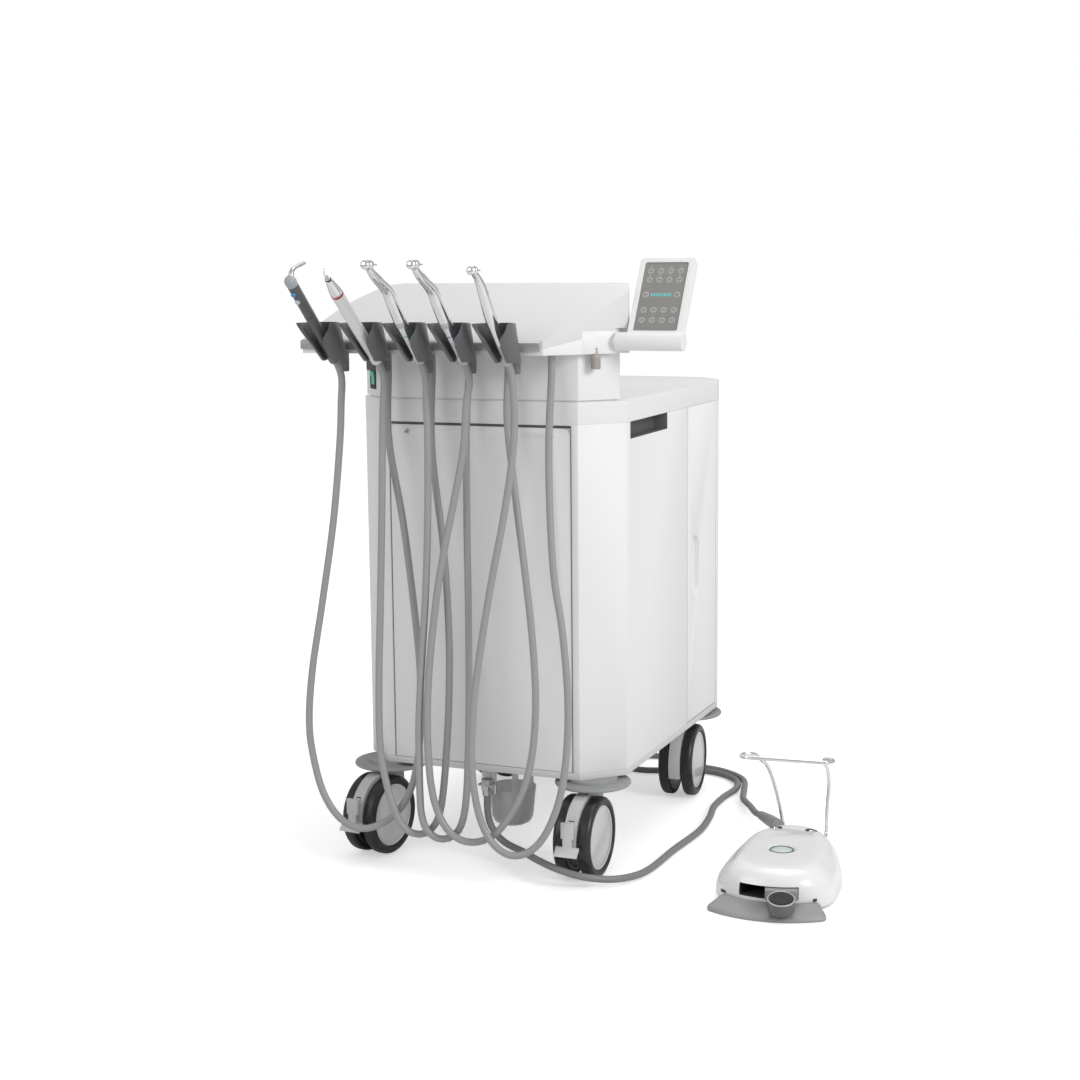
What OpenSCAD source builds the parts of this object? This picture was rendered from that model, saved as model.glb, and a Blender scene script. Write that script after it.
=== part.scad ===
// Portable dental unit: a cabinet on four twin-wheel casters, a sloped instrument
// console with five handpieces on hanging hoses, a tilting control panel and a
// foot control on its own hose.  Millimetres, +Z up, front faces -Y.

/* [Cabinet] */
// Overall width of the cabinet
cabinet_w = 440; // [380:2:530]
// Overall depth of the cabinet
cabinet_d = 615; // [520:5:740]
// Height of the shell between base plate and worktop
shell_h = 536; // [450:2:650]
// Setback of the two 45 degree front corners
corner_cut = 57; // [45:1:66]
// Radius of the two rear corners
rear_r = 95; // [60:1:110]
// Thickness of the shell walls
wall = 4; // [3:0.5:6]
// Thickness of the base plate
base_t = 10; // [8:1:14]
// Thickness of the worktop slab
slab_t = 33; // [26:1:42]
// Dark gap round the access panel and the door
panel_gap = 2; // [1.5:0.1:3]
// Width of the front access panel
access_w = 300; // [240:2:312]
// Width of the service door in the right side
door_w = 161; // [130:1:190]
// Thickness of the service door
door_t = 12; // [10:0.5:16]
// Length of the hand grip recess under the worktop
grip_l = 177; // [140:1:200]
// Height of the hand grip recess
grip_h = 26; // [20:1:32]

/* [Casters] */
// Wheel diameter
wheel_d = 125; // [100:1:150]
// Width of one wheel of a twin pair
wheel_w = 20; // [16:0.5:24]
// Width of the housing between the twin wheels
caster_web = 20; // [16:0.5:24]
// Distance from the swivel axis to the wheel axle
caster_trail = 38; // [30:1:46]
// Height from the floor to the underside of the bumper disc
caster_h = 135; // [131:0.5:160]
// Distance of each swivel axis from the cabinet's centre line
caster_x = 173; // [150:1:176]
// Diameter of the bumper discs
disc_d = 118; // [100:1:140]
// Thickness of the bumper discs
disc_t = 6; // [5:0.5:9]
// Diameter of the caster stems
stem_d = 12; // [10:0.5:14]

/* [Console] */
// Width of the column that carries the console
column_w = 424; // [360:2:430]
// Height of the column above the worktop
column_h = 72; // [60:1:90]
// Length of the console's front edge
console_w = 396; // [380:1:440]
// Height of the console's front lip
lip_h = 18; // [14:1:24]
// Slope of the console's top
console_slope = 35.3; // [28:0.1:38]
// Depth of the console from its lip to its crest
console_run = 123; // [110:1:130]
// Radius of the rounded left end
console_r = 182; // [176:1:190]
// Overhang of the console's lip in front of the cabinet
lip_reach = 60; // [52:1:68]
// Overhang of the console's right end beyond the column's corner face
corner_reach = 16.6; // [15:0.2:20]

/* [Instruments] */
// Distance from one holder to the next
holder_pitch = 71.3; // [66:0.1:76]
// Forward lean of the holders
holder_lean = 41; // [36:1:46]
// Height of a holder
holder_h = 58; // [50:1:66]
// Mouth radius of a holder
holder_mouth_r = 30; // [26:0.5:33]
// Foot radius of a holder
holder_foot_r = 18.5; // [16:0.5:20]
// Wall of a holder
holder_wall = 4; // [3:0.5:5]
// Diameter of the hoses
hose_d = 11; // [9:0.5:12]
// Diameter of the flow knobs
knob_d = 15; // [12:0.5:18]

/* [Control panel] */
// Width of the panel
panel_w = 86; // [76:1:96]
// Length of the panel from its hinge axis
panel_l = 138; // [120:1:150]
// Thickness of the panel
panel_t = 12; // [10:0.5:16]
// Diameter of the hinge barrel
barrel_d = 27.5; // [24:0.5:30]
// Backward lean of the panel at rest
panel_lean = 31; // [20:1:40]
// Diameter of the hinge shaft
shaft_d = 14; // [12:0.5:16]

/* [Foot control] */
// Place of the foot control, to the right of the cabinet's centre
foot_x = 470; // [430:5:560]
// Place of the foot control, along the depth
foot_y = -228; // [-300:2:-180]
// Turn of the foot control
foot_turn = 4.8; // [-10:0.1:10]
// Half width of the foot control at the floor
foot_half_w = 88; // [80:1:96]
// Height of the foot control's housing
foot_h = 60; // [54:1:68]
// Front radius of the housing about the lever's pivot
foot_r = 114; // [108:1:120]
// Depth of the grey front foot rest
rest_depth = 42; // [38:1:48]
// Half width of the foot rest
rest_half_w = 90; // [84:1:96]
// Width of the lever
lever_w = 47; // [40:1:50]
// Swing of the lever to each side of the middle
lever_swing = 9.9; // [7:0.1:11]
// Diameter of the lever's round pad
pad_d = 40; // [34:1:44]
// Diameter of the wire bail
bail_d = 6; // [5:0.5:7]

/* [Fits] */
// Radial clearance of a turning fit
fit = 0.08; // [0.05:0.01:0.1]
// Free gap between moving pieces
gap = 0.5; // [0.4:0.1:0.8]

/* [Hidden] */
$fn = 48;

// Levels and outlines of the cabinet
hub_h = 5;
base_z = caster_h + disc_t + hub_h;
shell_z = base_z + base_t;
slab_z = shell_z + shell_h;
worktop_z = slab_z + slab_t;
half_w = cabinet_w / 2;
caster_y = (cabinet_d - 135) / 2;
front_y = -caster_y - 30;
rear_y = front_y + cabinet_d;
side_front_y = front_y + corner_cut;
side_rear_y = rear_y - rear_r;
face_k = half_w - corner_cut - front_y;      // x - y on the right-hand corner face

// Service door and its pins
door_rear_y = side_rear_y;
door_front_y = door_rear_y - door_w;
door_pin_in = 5;
door_pin_d = 5;
door_pin_l = 6;
door_lift = 2;
door_top_gap = 0.5;

// Casters: turn of each one about its stem, 0 is wheels trailing to the back
turn_fl = 172;
turn_fr = 180;
turn_rl = 176;
turn_rr = 184;
wheel_r = wheel_d / 2;
axle_d = 8;
hood_r = wheel_r + 4.5;

// Console
console_z = worktop_z + column_h;
lip_y = front_y - lip_reach;
rail_t = 4;
head_y = lip_y + rail_t;
lip_z = console_z + lip_h;
console_k = face_k + corner_reach * sqrt(2);   // x - y on the console's right-hand face
nose_x = console_k + lip_y;
console_left_x = nose_x - console_w;
crest_y = lip_y + console_run;
crest_z = lip_z + console_run * tan(console_slope);
arc_cx = console_left_x + 177;
arc_cy = lip_y - 46;
console_rear_y = arc_cy + console_r;
console_right_x = half_w + 8;
seam_drop = 10;
seam_slope = 0.3;

// Hinge of the control panel
hinge_y = lip_y + 88;
hinge_z = console_z + lip_h;
hinge_x = console_right_x - 13;
notch_top = hinge_z + barrel_d / 2 + 5.5;
panel_x = hinge_x + 16;
arm_x = hinge_x - 40;

// Instruments
holder_x0 = nose_x - 328;
function holder_x(i) = holder_x0 + i * holder_pitch;
holder_y = lip_y - 12;
holder_z = console_z - 9;
tool_y = lip_y - 18;
tool_z = console_z - 7;
coupling_r = 9;

// Foot control
rest_r = foot_r + rest_depth;
rest_angle = 46;
base_foot_t = 3;
window_z = 20;
window_h = 18;
lever_t = 15;
lever_out = 150;
stud_x = 28;
stud_y = 104;
stud_d = 15;
stud_travel = 4;
bail_pivot_y = 163;
bail_pivot_z = 18;
bail_ear = 31;

// Origin: the middle of the object's footprint, on the floor
tip_reach = 172;
foot_right_x = foot_x + rest_half_w * cos(foot_turn)
    + sqrt(rest_r * rest_r - rest_half_w * rest_half_w) * sin(foot_turn);
origin_x = (foot_right_x + console_left_x) / 2;
tip_y = tool_y - tip_reach;
origin_y = (rear_y + tip_y) / 2;

white = [0.93, 0.93, 0.92];
pale = [0.85, 0.85, 0.85];
grey = [0.62, 0.63, 0.63];
dark = [0.36, 0.36, 0.37];
black = [0.08, 0.08, 0.09];
steel = [0.72, 0.72, 0.74];
hose_grey = [0.55, 0.56, 0.57];

// Moves a piece from the cabinet's own frame to the object's frame
module placed(c) color(c) translate([-origin_x, -origin_y, 0]) children();

module box(lo, hi) translate(lo) cube(hi - lo);

// Straight rod or taper from p to q
module rod(p, q, r1, r2) {
    v = q - p;
    translate(p)
        rotate([0, acos(v.z / norm(v)), atan2(v.y, v.x)])
            cylinder(h = norm(v), r1 = r1, r2 = r2);
}

// ---------- swept tubes ----------

function unit(v) = v / norm(v);

// Point of a smooth curve through p[i] and p[i + 1], t from 0 to 1
function curve_point(p, i, t) =
    let (a = p[max(i - 1, 0)], b = p[i], c = p[i + 1], d = p[min(i + 2, len(p) - 1)])
    0.5 * (2 * b + (c - a) * t + (2 * a - 5 * b + 4 * c - d) * t * t
        + (3 * b - a - 3 * c + d) * t * t * t);

// The route with a ring about every step millimetres
function smooth_route(p, step) = concat(
    [for (i = [0:len(p) - 2])
        let (n = max(1, round(norm(p[i + 1] - p[i]) / step)))
        for (j = [0:n - 1]) curve_point(p, i, j / n)],
    [p[len(p) - 1]]);

function tangents(c) = [for (i = [0:len(c) - 1])
    unit(c[min(i + 1, len(c) - 1)] - c[max(i - 1, 0)])];

// Side vectors carried along the curve without twist
function carried(t, s, i = 0) = i == len(t) ? [] :
    let (n = unit(s - t[i] * (s * t[i]))) concat([n], carried(t, n, i + 1));

module sweep(route, r, step, sides = 8, first = [1, 0, 0]) {
    c = smooth_route(route, step);
    t = tangents(c);
    s = carried(t, first);
    n = len(c);
    points = [for (i = [0:n - 1]) let (b = cross(t[i], s[i])) for (k = [0:sides - 1])
        c[i] + r * (cos(360 * k / sides) * s[i] + sin(360 * k / sides) * b)];
    walls = [for (i = [0:n - 2]) for (k = [0:sides - 1]) let (m = (k + 1) % sides)
        [i * sides + k, (i + 1) * sides + k, (i + 1) * sides + m, i * sides + m]];
    ends = [[for (k = [0:sides - 1]) k], [for (k = [sides - 1:-1:0]) (n - 1) * sides + k]];
    polyhedron(points, concat(walls, ends), convexity = 10);
}

// ---------- cabinet ----------

// Outline of the cabinet seen from above, set in by d
module outline(d = 0) {
    w = half_w - d;
    cut = corner_cut - d * (2 - sqrt(2));
    rear_centre = half_w - rear_r;
    polygon([[-w, front_y + d + cut], [-w + cut, front_y + d], [w - cut, front_y + d],
        [w, front_y + d + cut], [w, side_rear_y], [-w, side_rear_y]]);
    translate([-rear_centre, side_rear_y - 1])
        square([2 * rear_centre, rear_r - d + 1]);
    for (s = [-1, 1]) translate([s * rear_centre, side_rear_y]) circle(r = rear_r - d, $fn = 96);
}

module shell_walls() translate([0, 0, shell_z]) linear_extrude(shell_h) difference() {
    outline();
    outline(wall);
}

module door_pin_hole(z, h) translate([half_w - door_pin_in, door_rear_y - door_pin_in, z])
    cylinder(h = h, d = door_pin_d + 2 * fit);

module at_casters() for (x = [-caster_x, caster_x]) for (y = [-caster_y, caster_y])
    translate([x, y, 0]) children();

module base_plate() placed(pale) difference() {
    translate([0, 0, base_z]) linear_extrude(base_t) outline();
    at_casters() translate([0, 0, base_z - 1]) cylinder(h = base_t + 2, d = stem_d + 2 * fit);
    door_pin_hole(shell_z - door_pin_l, door_pin_l + 1);
}

// The front wall with both slanted corners, a rebate behind the panel
module front_frame() placed(white) difference() {
    union() {
        intersection() {
            shell_walls();
            box([-half_w, front_y, shell_z], [half_w, side_front_y, slab_z]);
        }
        translate([0, front_y + wall, 0]) rebate_ring();
    }
    box([-access_w / 2 - panel_gap, front_y - 1, shell_z - 1],
        [access_w / 2 + panel_gap, front_y + wall, slab_z - 2]);
    box([-access_w / 2 + 12, front_y, shell_z + 12],
        [access_w / 2 - 12, front_y + 3 * wall, slab_z - 30]);
}

module rebate_ring() box([-access_w / 2 - 8, -0.01, shell_z], [access_w / 2 + 8, wall, slab_z]);

module access_panel() placed(white) {
    h = shell_h - 7.5;
    r = 12;
    translate([0, front_y + wall, shell_z + 1]) rotate([90, 0, 0]) linear_extrude(wall - 1.5) {
        translate([-access_w / 2, 0]) square([access_w, h - r]);
        translate([-access_w / 2 + r, 0]) square([access_w - 2 * r, h]);
        for (s = [-1, 1]) translate([s * (access_w / 2 - r), h - r]) circle(r);
    }
    for (s = [-1, 1]) translate([s * (access_w / 2 - 30), front_y + 1.6, slab_z - 17.3])
        rotate([90, 0, 0]) panel_screw();
}

// Captive slotted screw of the access panel
module panel_screw() difference() {
    union() {
        cylinder(h = 1.6, d = 9);
        cylinder(h = 3.2, d1 = 8, d2 = 5);
    }
    translate([-5, -0.6, 2]) cube([10, 1.2, 2]);
}

grip_in = 24;
module grip_pocket(s) {
    y0 = side_front_y + 17;
    mirror([s < 0 ? 1 : 0, 0, 0])
        box([half_w - grip_in - 3, y0 - 3, slab_z - grip_h - 3],
            [half_w - 0.01, y0 + grip_l + 3, slab_z]);
}

module grip_space(s) mirror([s < 0 ? 1 : 0, 0, 0]) {
    y0 = side_front_y + 17;
    box([half_w - grip_in, y0, slab_z - grip_h], [half_w + 1, y0 + grip_l, slab_z + 1]);
}

module side_wall(s, y1) intersection() {
    shell_walls();
    box([s < 0 ? -half_w : 0, side_front_y, shell_z], [s < 0 ? 0 : half_w, y1, slab_z]);
}

module side_panel_left() placed(white) difference() {
    union() {
        side_wall(-1, side_rear_y + panel_gap);
        grip_pocket(-1);
    }
    grip_space(-1);
}

// The right wall ends at the door and carries the door's stop
module side_panel_right() placed(white) {
    jamb_y = door_front_y - panel_gap;
    difference() {
        union() {
            side_wall(1, jamb_y);
            grip_pocket(1);
            box([half_w - door_t - 6, jamb_y - wall, shell_z], [half_w - 1, jamb_y, slab_z]);
            box([half_w - door_t - 6, jamb_y - wall, shell_z + 20],
                [half_w - door_t - gap - 2, jamb_y + 12, slab_z - 20]);
        }
        grip_space(1);
    }
}

// Door: a pan with a turned edge, an oval finger pull and a pin at each end
module service_door() placed(white) {
    z0 = shell_z + door_lift;
    z1 = slab_z - door_top_gap;
    pin = [half_w - door_pin_in, door_rear_y - door_pin_in];
    pull = [door_front_y + 43, (z0 + z1) / 2 - 4];
    difference() {
        union() {
            translate([0, 0, z0]) linear_extrude(z1 - z0) {
                translate([half_w - door_t, door_front_y]) square([door_t, door_w - 4]);
                translate([half_w - door_t, door_rear_y - 5]) square([door_t - 4, 5]);
                translate([half_w - 4, door_rear_y - 4]) circle(r = 4);
            }
            for (z = [z0 - door_pin_l, z1]) translate([pin.x, pin.y, z])
                cylinder(h = door_pin_l, d = door_pin_d);
        }
        box([half_w - door_t - 1, door_front_y + 5, z0 + 8],
            [half_w - 5, door_rear_y - 14, z1 - 8]);
        finger_pull(pull, 40, 103, half_w - door_t + 3);
    }
    difference() {
        finger_pull(pull, 48, 111, half_w - door_t);
        finger_pull(pull, 40, 103, half_w - door_t + 3);
        box([half_w - 3.5, door_front_y, z0], [half_w + 20, door_rear_y, z1]);
    }
}

// Upright oval of width w and height h from depth x outward
module finger_pull(at, w, h, x) translate([x, at.x, at.y]) rotate([90, 0, 90])
    linear_extrude(30) {
        for (s = [-1, 1]) translate([0, s * (h - w) / 2]) circle(d = w);
        square([w, h - w], center = true);
    }

// Rounded back with cooling slots low down
module rear_cover() placed(white) difference() {
    intersection() {
        shell_walls();
        box([-half_w, side_rear_y + panel_gap, shell_z], [half_w, rear_y, slab_z]);
    }
    for (row = [0:1]) for (i = [0:8])
        box([-100 + row * 110, rear_y - wall - 1, shell_z + 60 + i * 14],
            [-10 + row * 110, rear_y + 1, shell_z + 63.5 + i * 14]);
}

module top_slab() placed(white) difference() {
    union() {
        translate([0, 0, slab_z]) linear_extrude(slab_t) outline();
        translate([0, 0, worktop_z - 1]) linear_extrude(column_foot + 1) column_outline(3);
    }
    door_pin_hole(slab_z - 1, door_pin_l + 1 - door_top_gap + 0.3);
}

// ---------- inside the cabinet ----------

// Oil-free compressor: motor between two cylinder heads on a receiver
module compressor() placed(grey) {
    c = [-half_w + 120, 60, shell_z];
    translate(c) {
        for (x = [-45, 45]) for (y = [-90, 90]) translate([x, y, 0]) cylinder(h = 14, d = 26);
        box([-62, -112, 14], [62, 112, 18]);
        translate([0, -105, 88]) rotate([-90, 0, 0]) cylinder(h = 210, d = 120);
        box([-50, -70, 18], [50, 70, 45]);
        translate([0, 0, 144]) {
            translate([0, -60, 48]) rotate([-90, 0, 0]) cylinder(h = 120, d = 92);
            for (y = [-48, 48]) for (i = [0:4])
                translate([0, y, 70 + i * 9]) cylinder(h = 4, d = 62);
            for (y = [-48, 48]) translate([0, y, 60]) cylinder(h = 56, d = 44);
        }
    }
}

// Clean-water bottle with its screw cap, standing behind the door
module water_bottle() placed(pale) translate([half_w - 92, door_rear_y - 85, shell_z]) {
    rotate_extrude() polygon([[0, 0], [44, 0], [47, 4], [47, 170], [40, 192], [22, 206],
        [22, 222], [27, 222], [27, 244], [0, 244]]);
}

// Water and air valve block under the worktop, fed by the bottle
module valve_block() placed(steel) {
    y = door_rear_y - 85;
    box([half_w - 142, y - 60, slab_z - 50], [half_w - 42, y + 20, slab_z]);
    for (i = [0:4]) translate([half_w - 132 + i * 20, y - 60, slab_z - 25]) rotate([90, 0, 0])
        cylinder(h = 24, d = 15);
}

// ---------- casters ----------

module bumper_discs() placed(grey) at_casters() difference() {
    translate([0, 0, caster_h]) {
        rotate_extrude($fn = 96) {
            square([disc_d / 2 - 3, disc_t]);
            translate([disc_d / 2 - 3, disc_t / 2]) circle(d = disc_t, $fn = 24);
        }
        cylinder(h = disc_t + hub_h, d = 76);
    }
    translate([0, 0, caster_h - 1]) cylinder(h = disc_t + hub_h + 2, d = stem_d + 2 * fit);
}

// Swivel housing: stem, collar and the web between the wheels, trailing along +Y
module caster_housing(front) {
    axle = [0, caster_trail, wheel_r];
    w = caster_web - 2 * gap;
    difference() {
        union() {
            translate([0, 0, caster_h - 10]) cylinder(h = 10 - gap, d = 41);
            translate([0, 0, caster_h - 10]) cylinder(h = disc_t + hub_h + base_t + 9, d = stem_d);
            translate([-w / 2, 0, 0]) rotate([90, 0, 90]) linear_extrude(w) difference() {
                union() {
                    translate([axle.y, axle.z]) circle(r = hood_r, $fn = 96);
                    translate([-20, wheel_r + 8]) square([46, caster_h - 6 - wheel_r - 8]);
                }
                translate([axle.y, axle.z]) rotate(front ? 25 : 5)
                    translate([-hood_r - 20, -2 * hood_r]) square([hood_r * 3, 2 * hood_r - 26]);
                translate([-hood_r, -hood_r]) square([4 * hood_r, hood_r + (front ? 34 : 18)]);
            }
            translate([-caster_web / 2 - 3, axle.y, axle.z]) rotate([0, 90, 0])
                translate([0, 0, 3 + gap]) cylinder(h = w, d = 40);
        }
        translate([-caster_web, axle.y, axle.z]) rotate([0, 90, 0])
            cylinder(h = 2 * caster_web, d = axle_d + 2 * fit);
        if (front) brake_slot(axle);
    }
}

// Slot and pin bore that take the brake pedal
brake_pin_d = 5;
brake_w = 9;
module brake_slot(axle) {
    p = brake_pin();
    translate([-brake_w / 2 - gap, p.y - 9, p.z - 9]) cube([brake_w + 2 * gap, 40, 18]);
    translate([-caster_web, p.y + 4, p.z - 50]) cube([2 * caster_web, 20, 42]);
    translate([-caster_web, p.y, p.z]) rotate([0, 90, 0])
        cylinder(h = 2 * caster_web, d = brake_pin_d + 2 * fit);
}
function brake_pin() = [0, caster_trail + hood_r - 9, wheel_r + 30];

module wheel_pair() translate([0, caster_trail, wheel_r]) rotate([0, 90, 0]) {
    translate([0, 0, -caster_web / 2 - 1]) cylinder(h = caster_web + 2, d = axle_d);
    for (s = [0, 1]) mirror([0, 0, s]) translate([0, 0, caster_web / 2]) wheel();
}

// One wheel: rounded tyre, recessed web and a domed cap
module wheel() rotate_extrude($fn = 96) polygon(concat(
    [[0, 0], [wheel_r - 4, 0]],
    [for (a = [0:30:90]) [wheel_r - 4 + 4 * sin(a), 4 - 4 * cos(a)]],
    [for (a = [0:22.5:90]) [wheel_r - 7 + 7 * cos(a), wheel_w - 7 + 7 * sin(a)]],
    [[wheel_r - 13, wheel_w], [wheel_r - 15, wheel_w - 1.5], [wheel_r - 17, wheel_w],
        [0, wheel_w]]));

// Pedal: pin, block, stem and the wide toe piece
module brake_pedal() {
    p = brake_pin();
    translate(p) {
        rotate([0, 90, 0]) translate([0, 0, -caster_web / 2 + 1])
            cylinder(h = caster_web - 2, d = brake_pin_d);
        rotate([0, 90, 0]) translate([0, 0, -brake_w / 2]) cylinder(h = brake_w, r = 8);
        translate([-brake_w / 2, 0, -8]) cube([brake_w, 11, 16]);
        translate([-10, 10.5, -14]) cube([20, 6, 24]);
        translate([-7, 12, -36]) cube([14, 5, 24]);
        translate([-18, 9, -41]) rotate([90, 0, 90]) linear_extrude(36)
            polygon([[3, 14], [8, 14], [18, 2], [14, 0], [6, 8], [3, 8]]);
    }
}

module at_caster(x, y, turn) translate([x, y, 0]) rotate([0, 0, turn]) children();

module caster_front_left() placed(grey) at_caster(-caster_x, -caster_y, turn_fl)
    caster_housing(true);
module caster_front_right() placed(grey) at_caster(caster_x, -caster_y, turn_fr)
    caster_housing(true);
module caster_rear_left() placed(grey) at_caster(-caster_x, caster_y, turn_rl)
    caster_housing(false);
module caster_rear_right() placed(grey) at_caster(caster_x, caster_y, turn_rr)
    caster_housing(false);
module wheels_front_left() placed(black) at_caster(-caster_x, -caster_y, turn_fl) wheel_pair();
module wheels_front_right() placed(black) at_caster(caster_x, -caster_y, turn_fr) wheel_pair();
module wheels_rear_left() placed(black) at_caster(-caster_x, caster_y, turn_rl) wheel_pair();
module wheels_rear_right() placed(black) at_caster(caster_x, caster_y, turn_rr) wheel_pair();
module brake_left() placed(grey) at_caster(-caster_x, -caster_y, turn_fl) brake_pedal();
module brake_right() placed(grey) at_caster(caster_x, -caster_y, turn_fr) brake_pedal();

// ---------- under the cabinet ----------

bowl = [21, front_y + 69];
bowl_r = 38;

// Drip bowl under a funnel, hung from the base plate
module drain_bowl() placed([0.8, 0.82, 0.82]) translate([bowl.x, bowl.y, base_z - 100]) {
    rotate_extrude() polygon([[0, 0], [bowl_r - 16, 0], [bowl_r - 9, 4], [bowl_r - 5, 12],
        [bowl_r, 60], [bowl_r - 2, 60], [bowl_r - 7, 13], [bowl_r - 11, 6],
        [bowl_r - 17, 2], [0, 2]]);
    for (a = [60, 180, 300]) rotate(a) translate([bowl_r - 2, -5, 50]) cube([3, 10, 50]);
}

gland = [2, front_y + 12, base_z - 42];
module hose_gland() placed(steel) {
    box([gland.x - 12, gland.y + 8, gland.z], [gland.x + 12, gland.y + 11, base_z]);
    box([gland.x - 12, gland.y - 9, gland.z + 16], [gland.x + 12, gland.y + 9, gland.z + 19]);
    translate(gland) {
        cylinder(h = 8, d = 15);
        translate([0, 0, 8]) cylinder(h = 8, d = 20, $fn = 6);
        translate([0, 0, 19]) cylinder(h = 7, d = 20, $fn = 6);
    }
}

// ---------- console ----------

column_foot = 2.5;   // height of the slab's plinth, the shadow gap under the column
rocker_slope = 45;
rocker_w = 22;
rocker_l = 30;

module column_outline(d = 0) {
    w = column_w / 2 - d;
    cut = 48;
    y = front_y + d;
    rear = console_rear_y - 4 - d;
    polygon([[-w + cut, y], [w - cut, y], [w, y + cut], [w, y + cut + 2], [w - 30, rear],
        [-w + 30, rear], [-w, y + cut + 2], [-w, y + cut]]);
}

module column() placed(white) difference() {
    translate([0, 0, worktop_z + column_foot]) linear_extrude(column_h - column_foot)
        column_outline();
    at_rocker() translate([-rocker_w / 2, -rocker_l / 2, -14]) cube([rocker_w, rocker_l, 20]);
}

// Frame of the power switch: Z points out of the left corner face, Y is up
module at_rocker() translate([-column_w / 2 + 24, front_y + 24, worktop_z + 30])
    rotate([0, 0, 135]) rotate([90, 0, 180]) children();

rocker_pin_d = 3;
module rocker_frame() placed(black) at_rocker() difference() {
    union() {
        translate([-rocker_w / 2, -rocker_l / 2, -12]) cube([rocker_w, rocker_l, 12]);
        translate([-rocker_w / 2 - 2, -rocker_l / 2 - 2, 0])
            cube([rocker_w + 4, rocker_l + 4, 1.5]);
    }
    translate([-rocker_w / 2 + 3, -rocker_l / 2 + 3, -9])
        cube([rocker_w - 6, rocker_l - 6, 12]);
    translate([-rocker_w / 2 + 1, 0, -4]) rotate([0, 90, 0])
        cylinder(h = rocker_w - 2, d = rocker_pin_d + 2 * fit);
}

module power_rocker() placed([0.1, 0.55, 0.4]) at_rocker() {
    w = rocker_w - 6 - 2 * gap;
    translate([0, 0, -4]) {
        translate([-rocker_w / 2 + 1.5, 0, 0]) rotate([0, 90, 0])
            cylinder(h = rocker_w - 3, d = rocker_pin_d);
        rotate([0, 90, 0]) translate([0, 0, -w / 2]) linear_extrude(w)
            polygon([[1.5, -3], [-2, -10.5], [-5.5, -10.5], [-5.2, 0], [-8, 10], [-4.5, 10.5],
                [1.5, 3]]);
    }
}

// Outline of the console from above: round left end, right end along the corner face
module console_outline() {
    corner_r = 34;
    back = console_rear_y;
    right = console_right_x;
    difference() {
        union() {
            intersection() {
                translate([arc_cx, arc_cy]) circle(r = console_r, $fn = 144);
                translate([console_left_x - 9, head_y]) square([arc_cx - console_left_x + 10, 300]);
            }
            translate([arc_cx, head_y]) square([right - corner_r - arc_cx, back - head_y]);
            translate([right - corner_r - 1, head_y])
                square([corner_r + 1, back - corner_r - head_y]);
            translate([right - corner_r, back - corner_r]) circle(r = corner_r, $fn = 64);
        }
        polygon([[console_k + head_y - 10, head_y - 10], [console_k + back + 10, back + 10],
            [console_k + back + 300, back], [console_k + back + 300, head_y - 10]]);
    }
}

// Side profile of the console: lip, slope, rounded crest and upright back
module console_profile() {
    t = tan(console_slope);
    polygon([[head_y, console_z], [head_y, lip_z + (head_y - lip_y) * t],
        [crest_y - 10, crest_z - 10 * t], [crest_y - 4, crest_z - 3.6],
        [crest_y + 3, crest_z - 1.5], [console_rear_y - 4, crest_z - 6],
        [console_rear_y, crest_z - 12], [console_rear_y, console_z]]);
}

module console_solid() intersection() {
    translate([0, 0, console_z - 1]) linear_extrude(200) console_outline();
    translate([console_left_x - 50, 0, 0]) rotate([90, 0, 90]) linear_extrude(700)
        console_profile();
}

// Space above the slanted seam between the console's base and its cover
module above_seam() translate([console_left_x - 60, 0, 0]) rotate([90, 0, 90])
    linear_extrude(720) polygon([
        [lip_y - 20, lip_z - seam_drop - 20 * seam_slope],
        [console_rear_y + 20, lip_z - seam_drop + (console_rear_y + 20 - lip_y) * seam_slope],
        [console_rear_y + 20, crest_z + 50], [lip_y - 20, crest_z + 50]]);

// Notch for the hinge barrel under the right-hand corner
module hinge_notch() box([hinge_x - 0.7, hinge_y - barrel_d, console_z - 2],
    [half_w + 60, hinge_y + barrel_d / 2 + 4, notch_top]);

module arm_space() box([arm_x, hinge_y - 60, console_z - 2],
    [hinge_x + 60, hinge_y + 26, hinge_z + barrel_d / 2 + 2]);

module console_base() placed(white) difference() {
    console_solid();
    above_seam();
    arm_space();
    hinge_notch();
    for (i = [0:4]) knob_bore(holder_x(i) - knob_aside, knob_y);
    knob_bore(knob_left_x, knob_left_y);
}

module console_cover() placed(pale) difference() {
    intersection() {
        console_solid();
        above_seam();
    }
    arm_space();
    hinge_notch();
}

module hinge_arm() placed(white) {
    difference() {
        intersection() {
            console_solid();
            arm_space();
        }
        hinge_notch();
        knob_bore(knob_right_x, knob_right_y);
    }
    translate([hinge_x - 6, hinge_y, hinge_z]) rotate([0, 90, 0])
        cylinder(h = panel_x + panel_w - hinge_x, d = shaft_d);
}

// Grey rail along the lip that carries the holders
module holder_rail() placed(grey) translate([console_left_x, 0, 0]) rotate([90, 0, 90])
    linear_extrude(console_w) polygon([[lip_y, lip_z - 12], [lip_y, lip_z],
        [head_y, lip_z + rail_t * tan(console_slope)], [head_y, lip_z - 12]]);

// ---------- holders ----------

module at_holder(i) translate([holder_x(i), holder_y, holder_z]) children();

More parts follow.
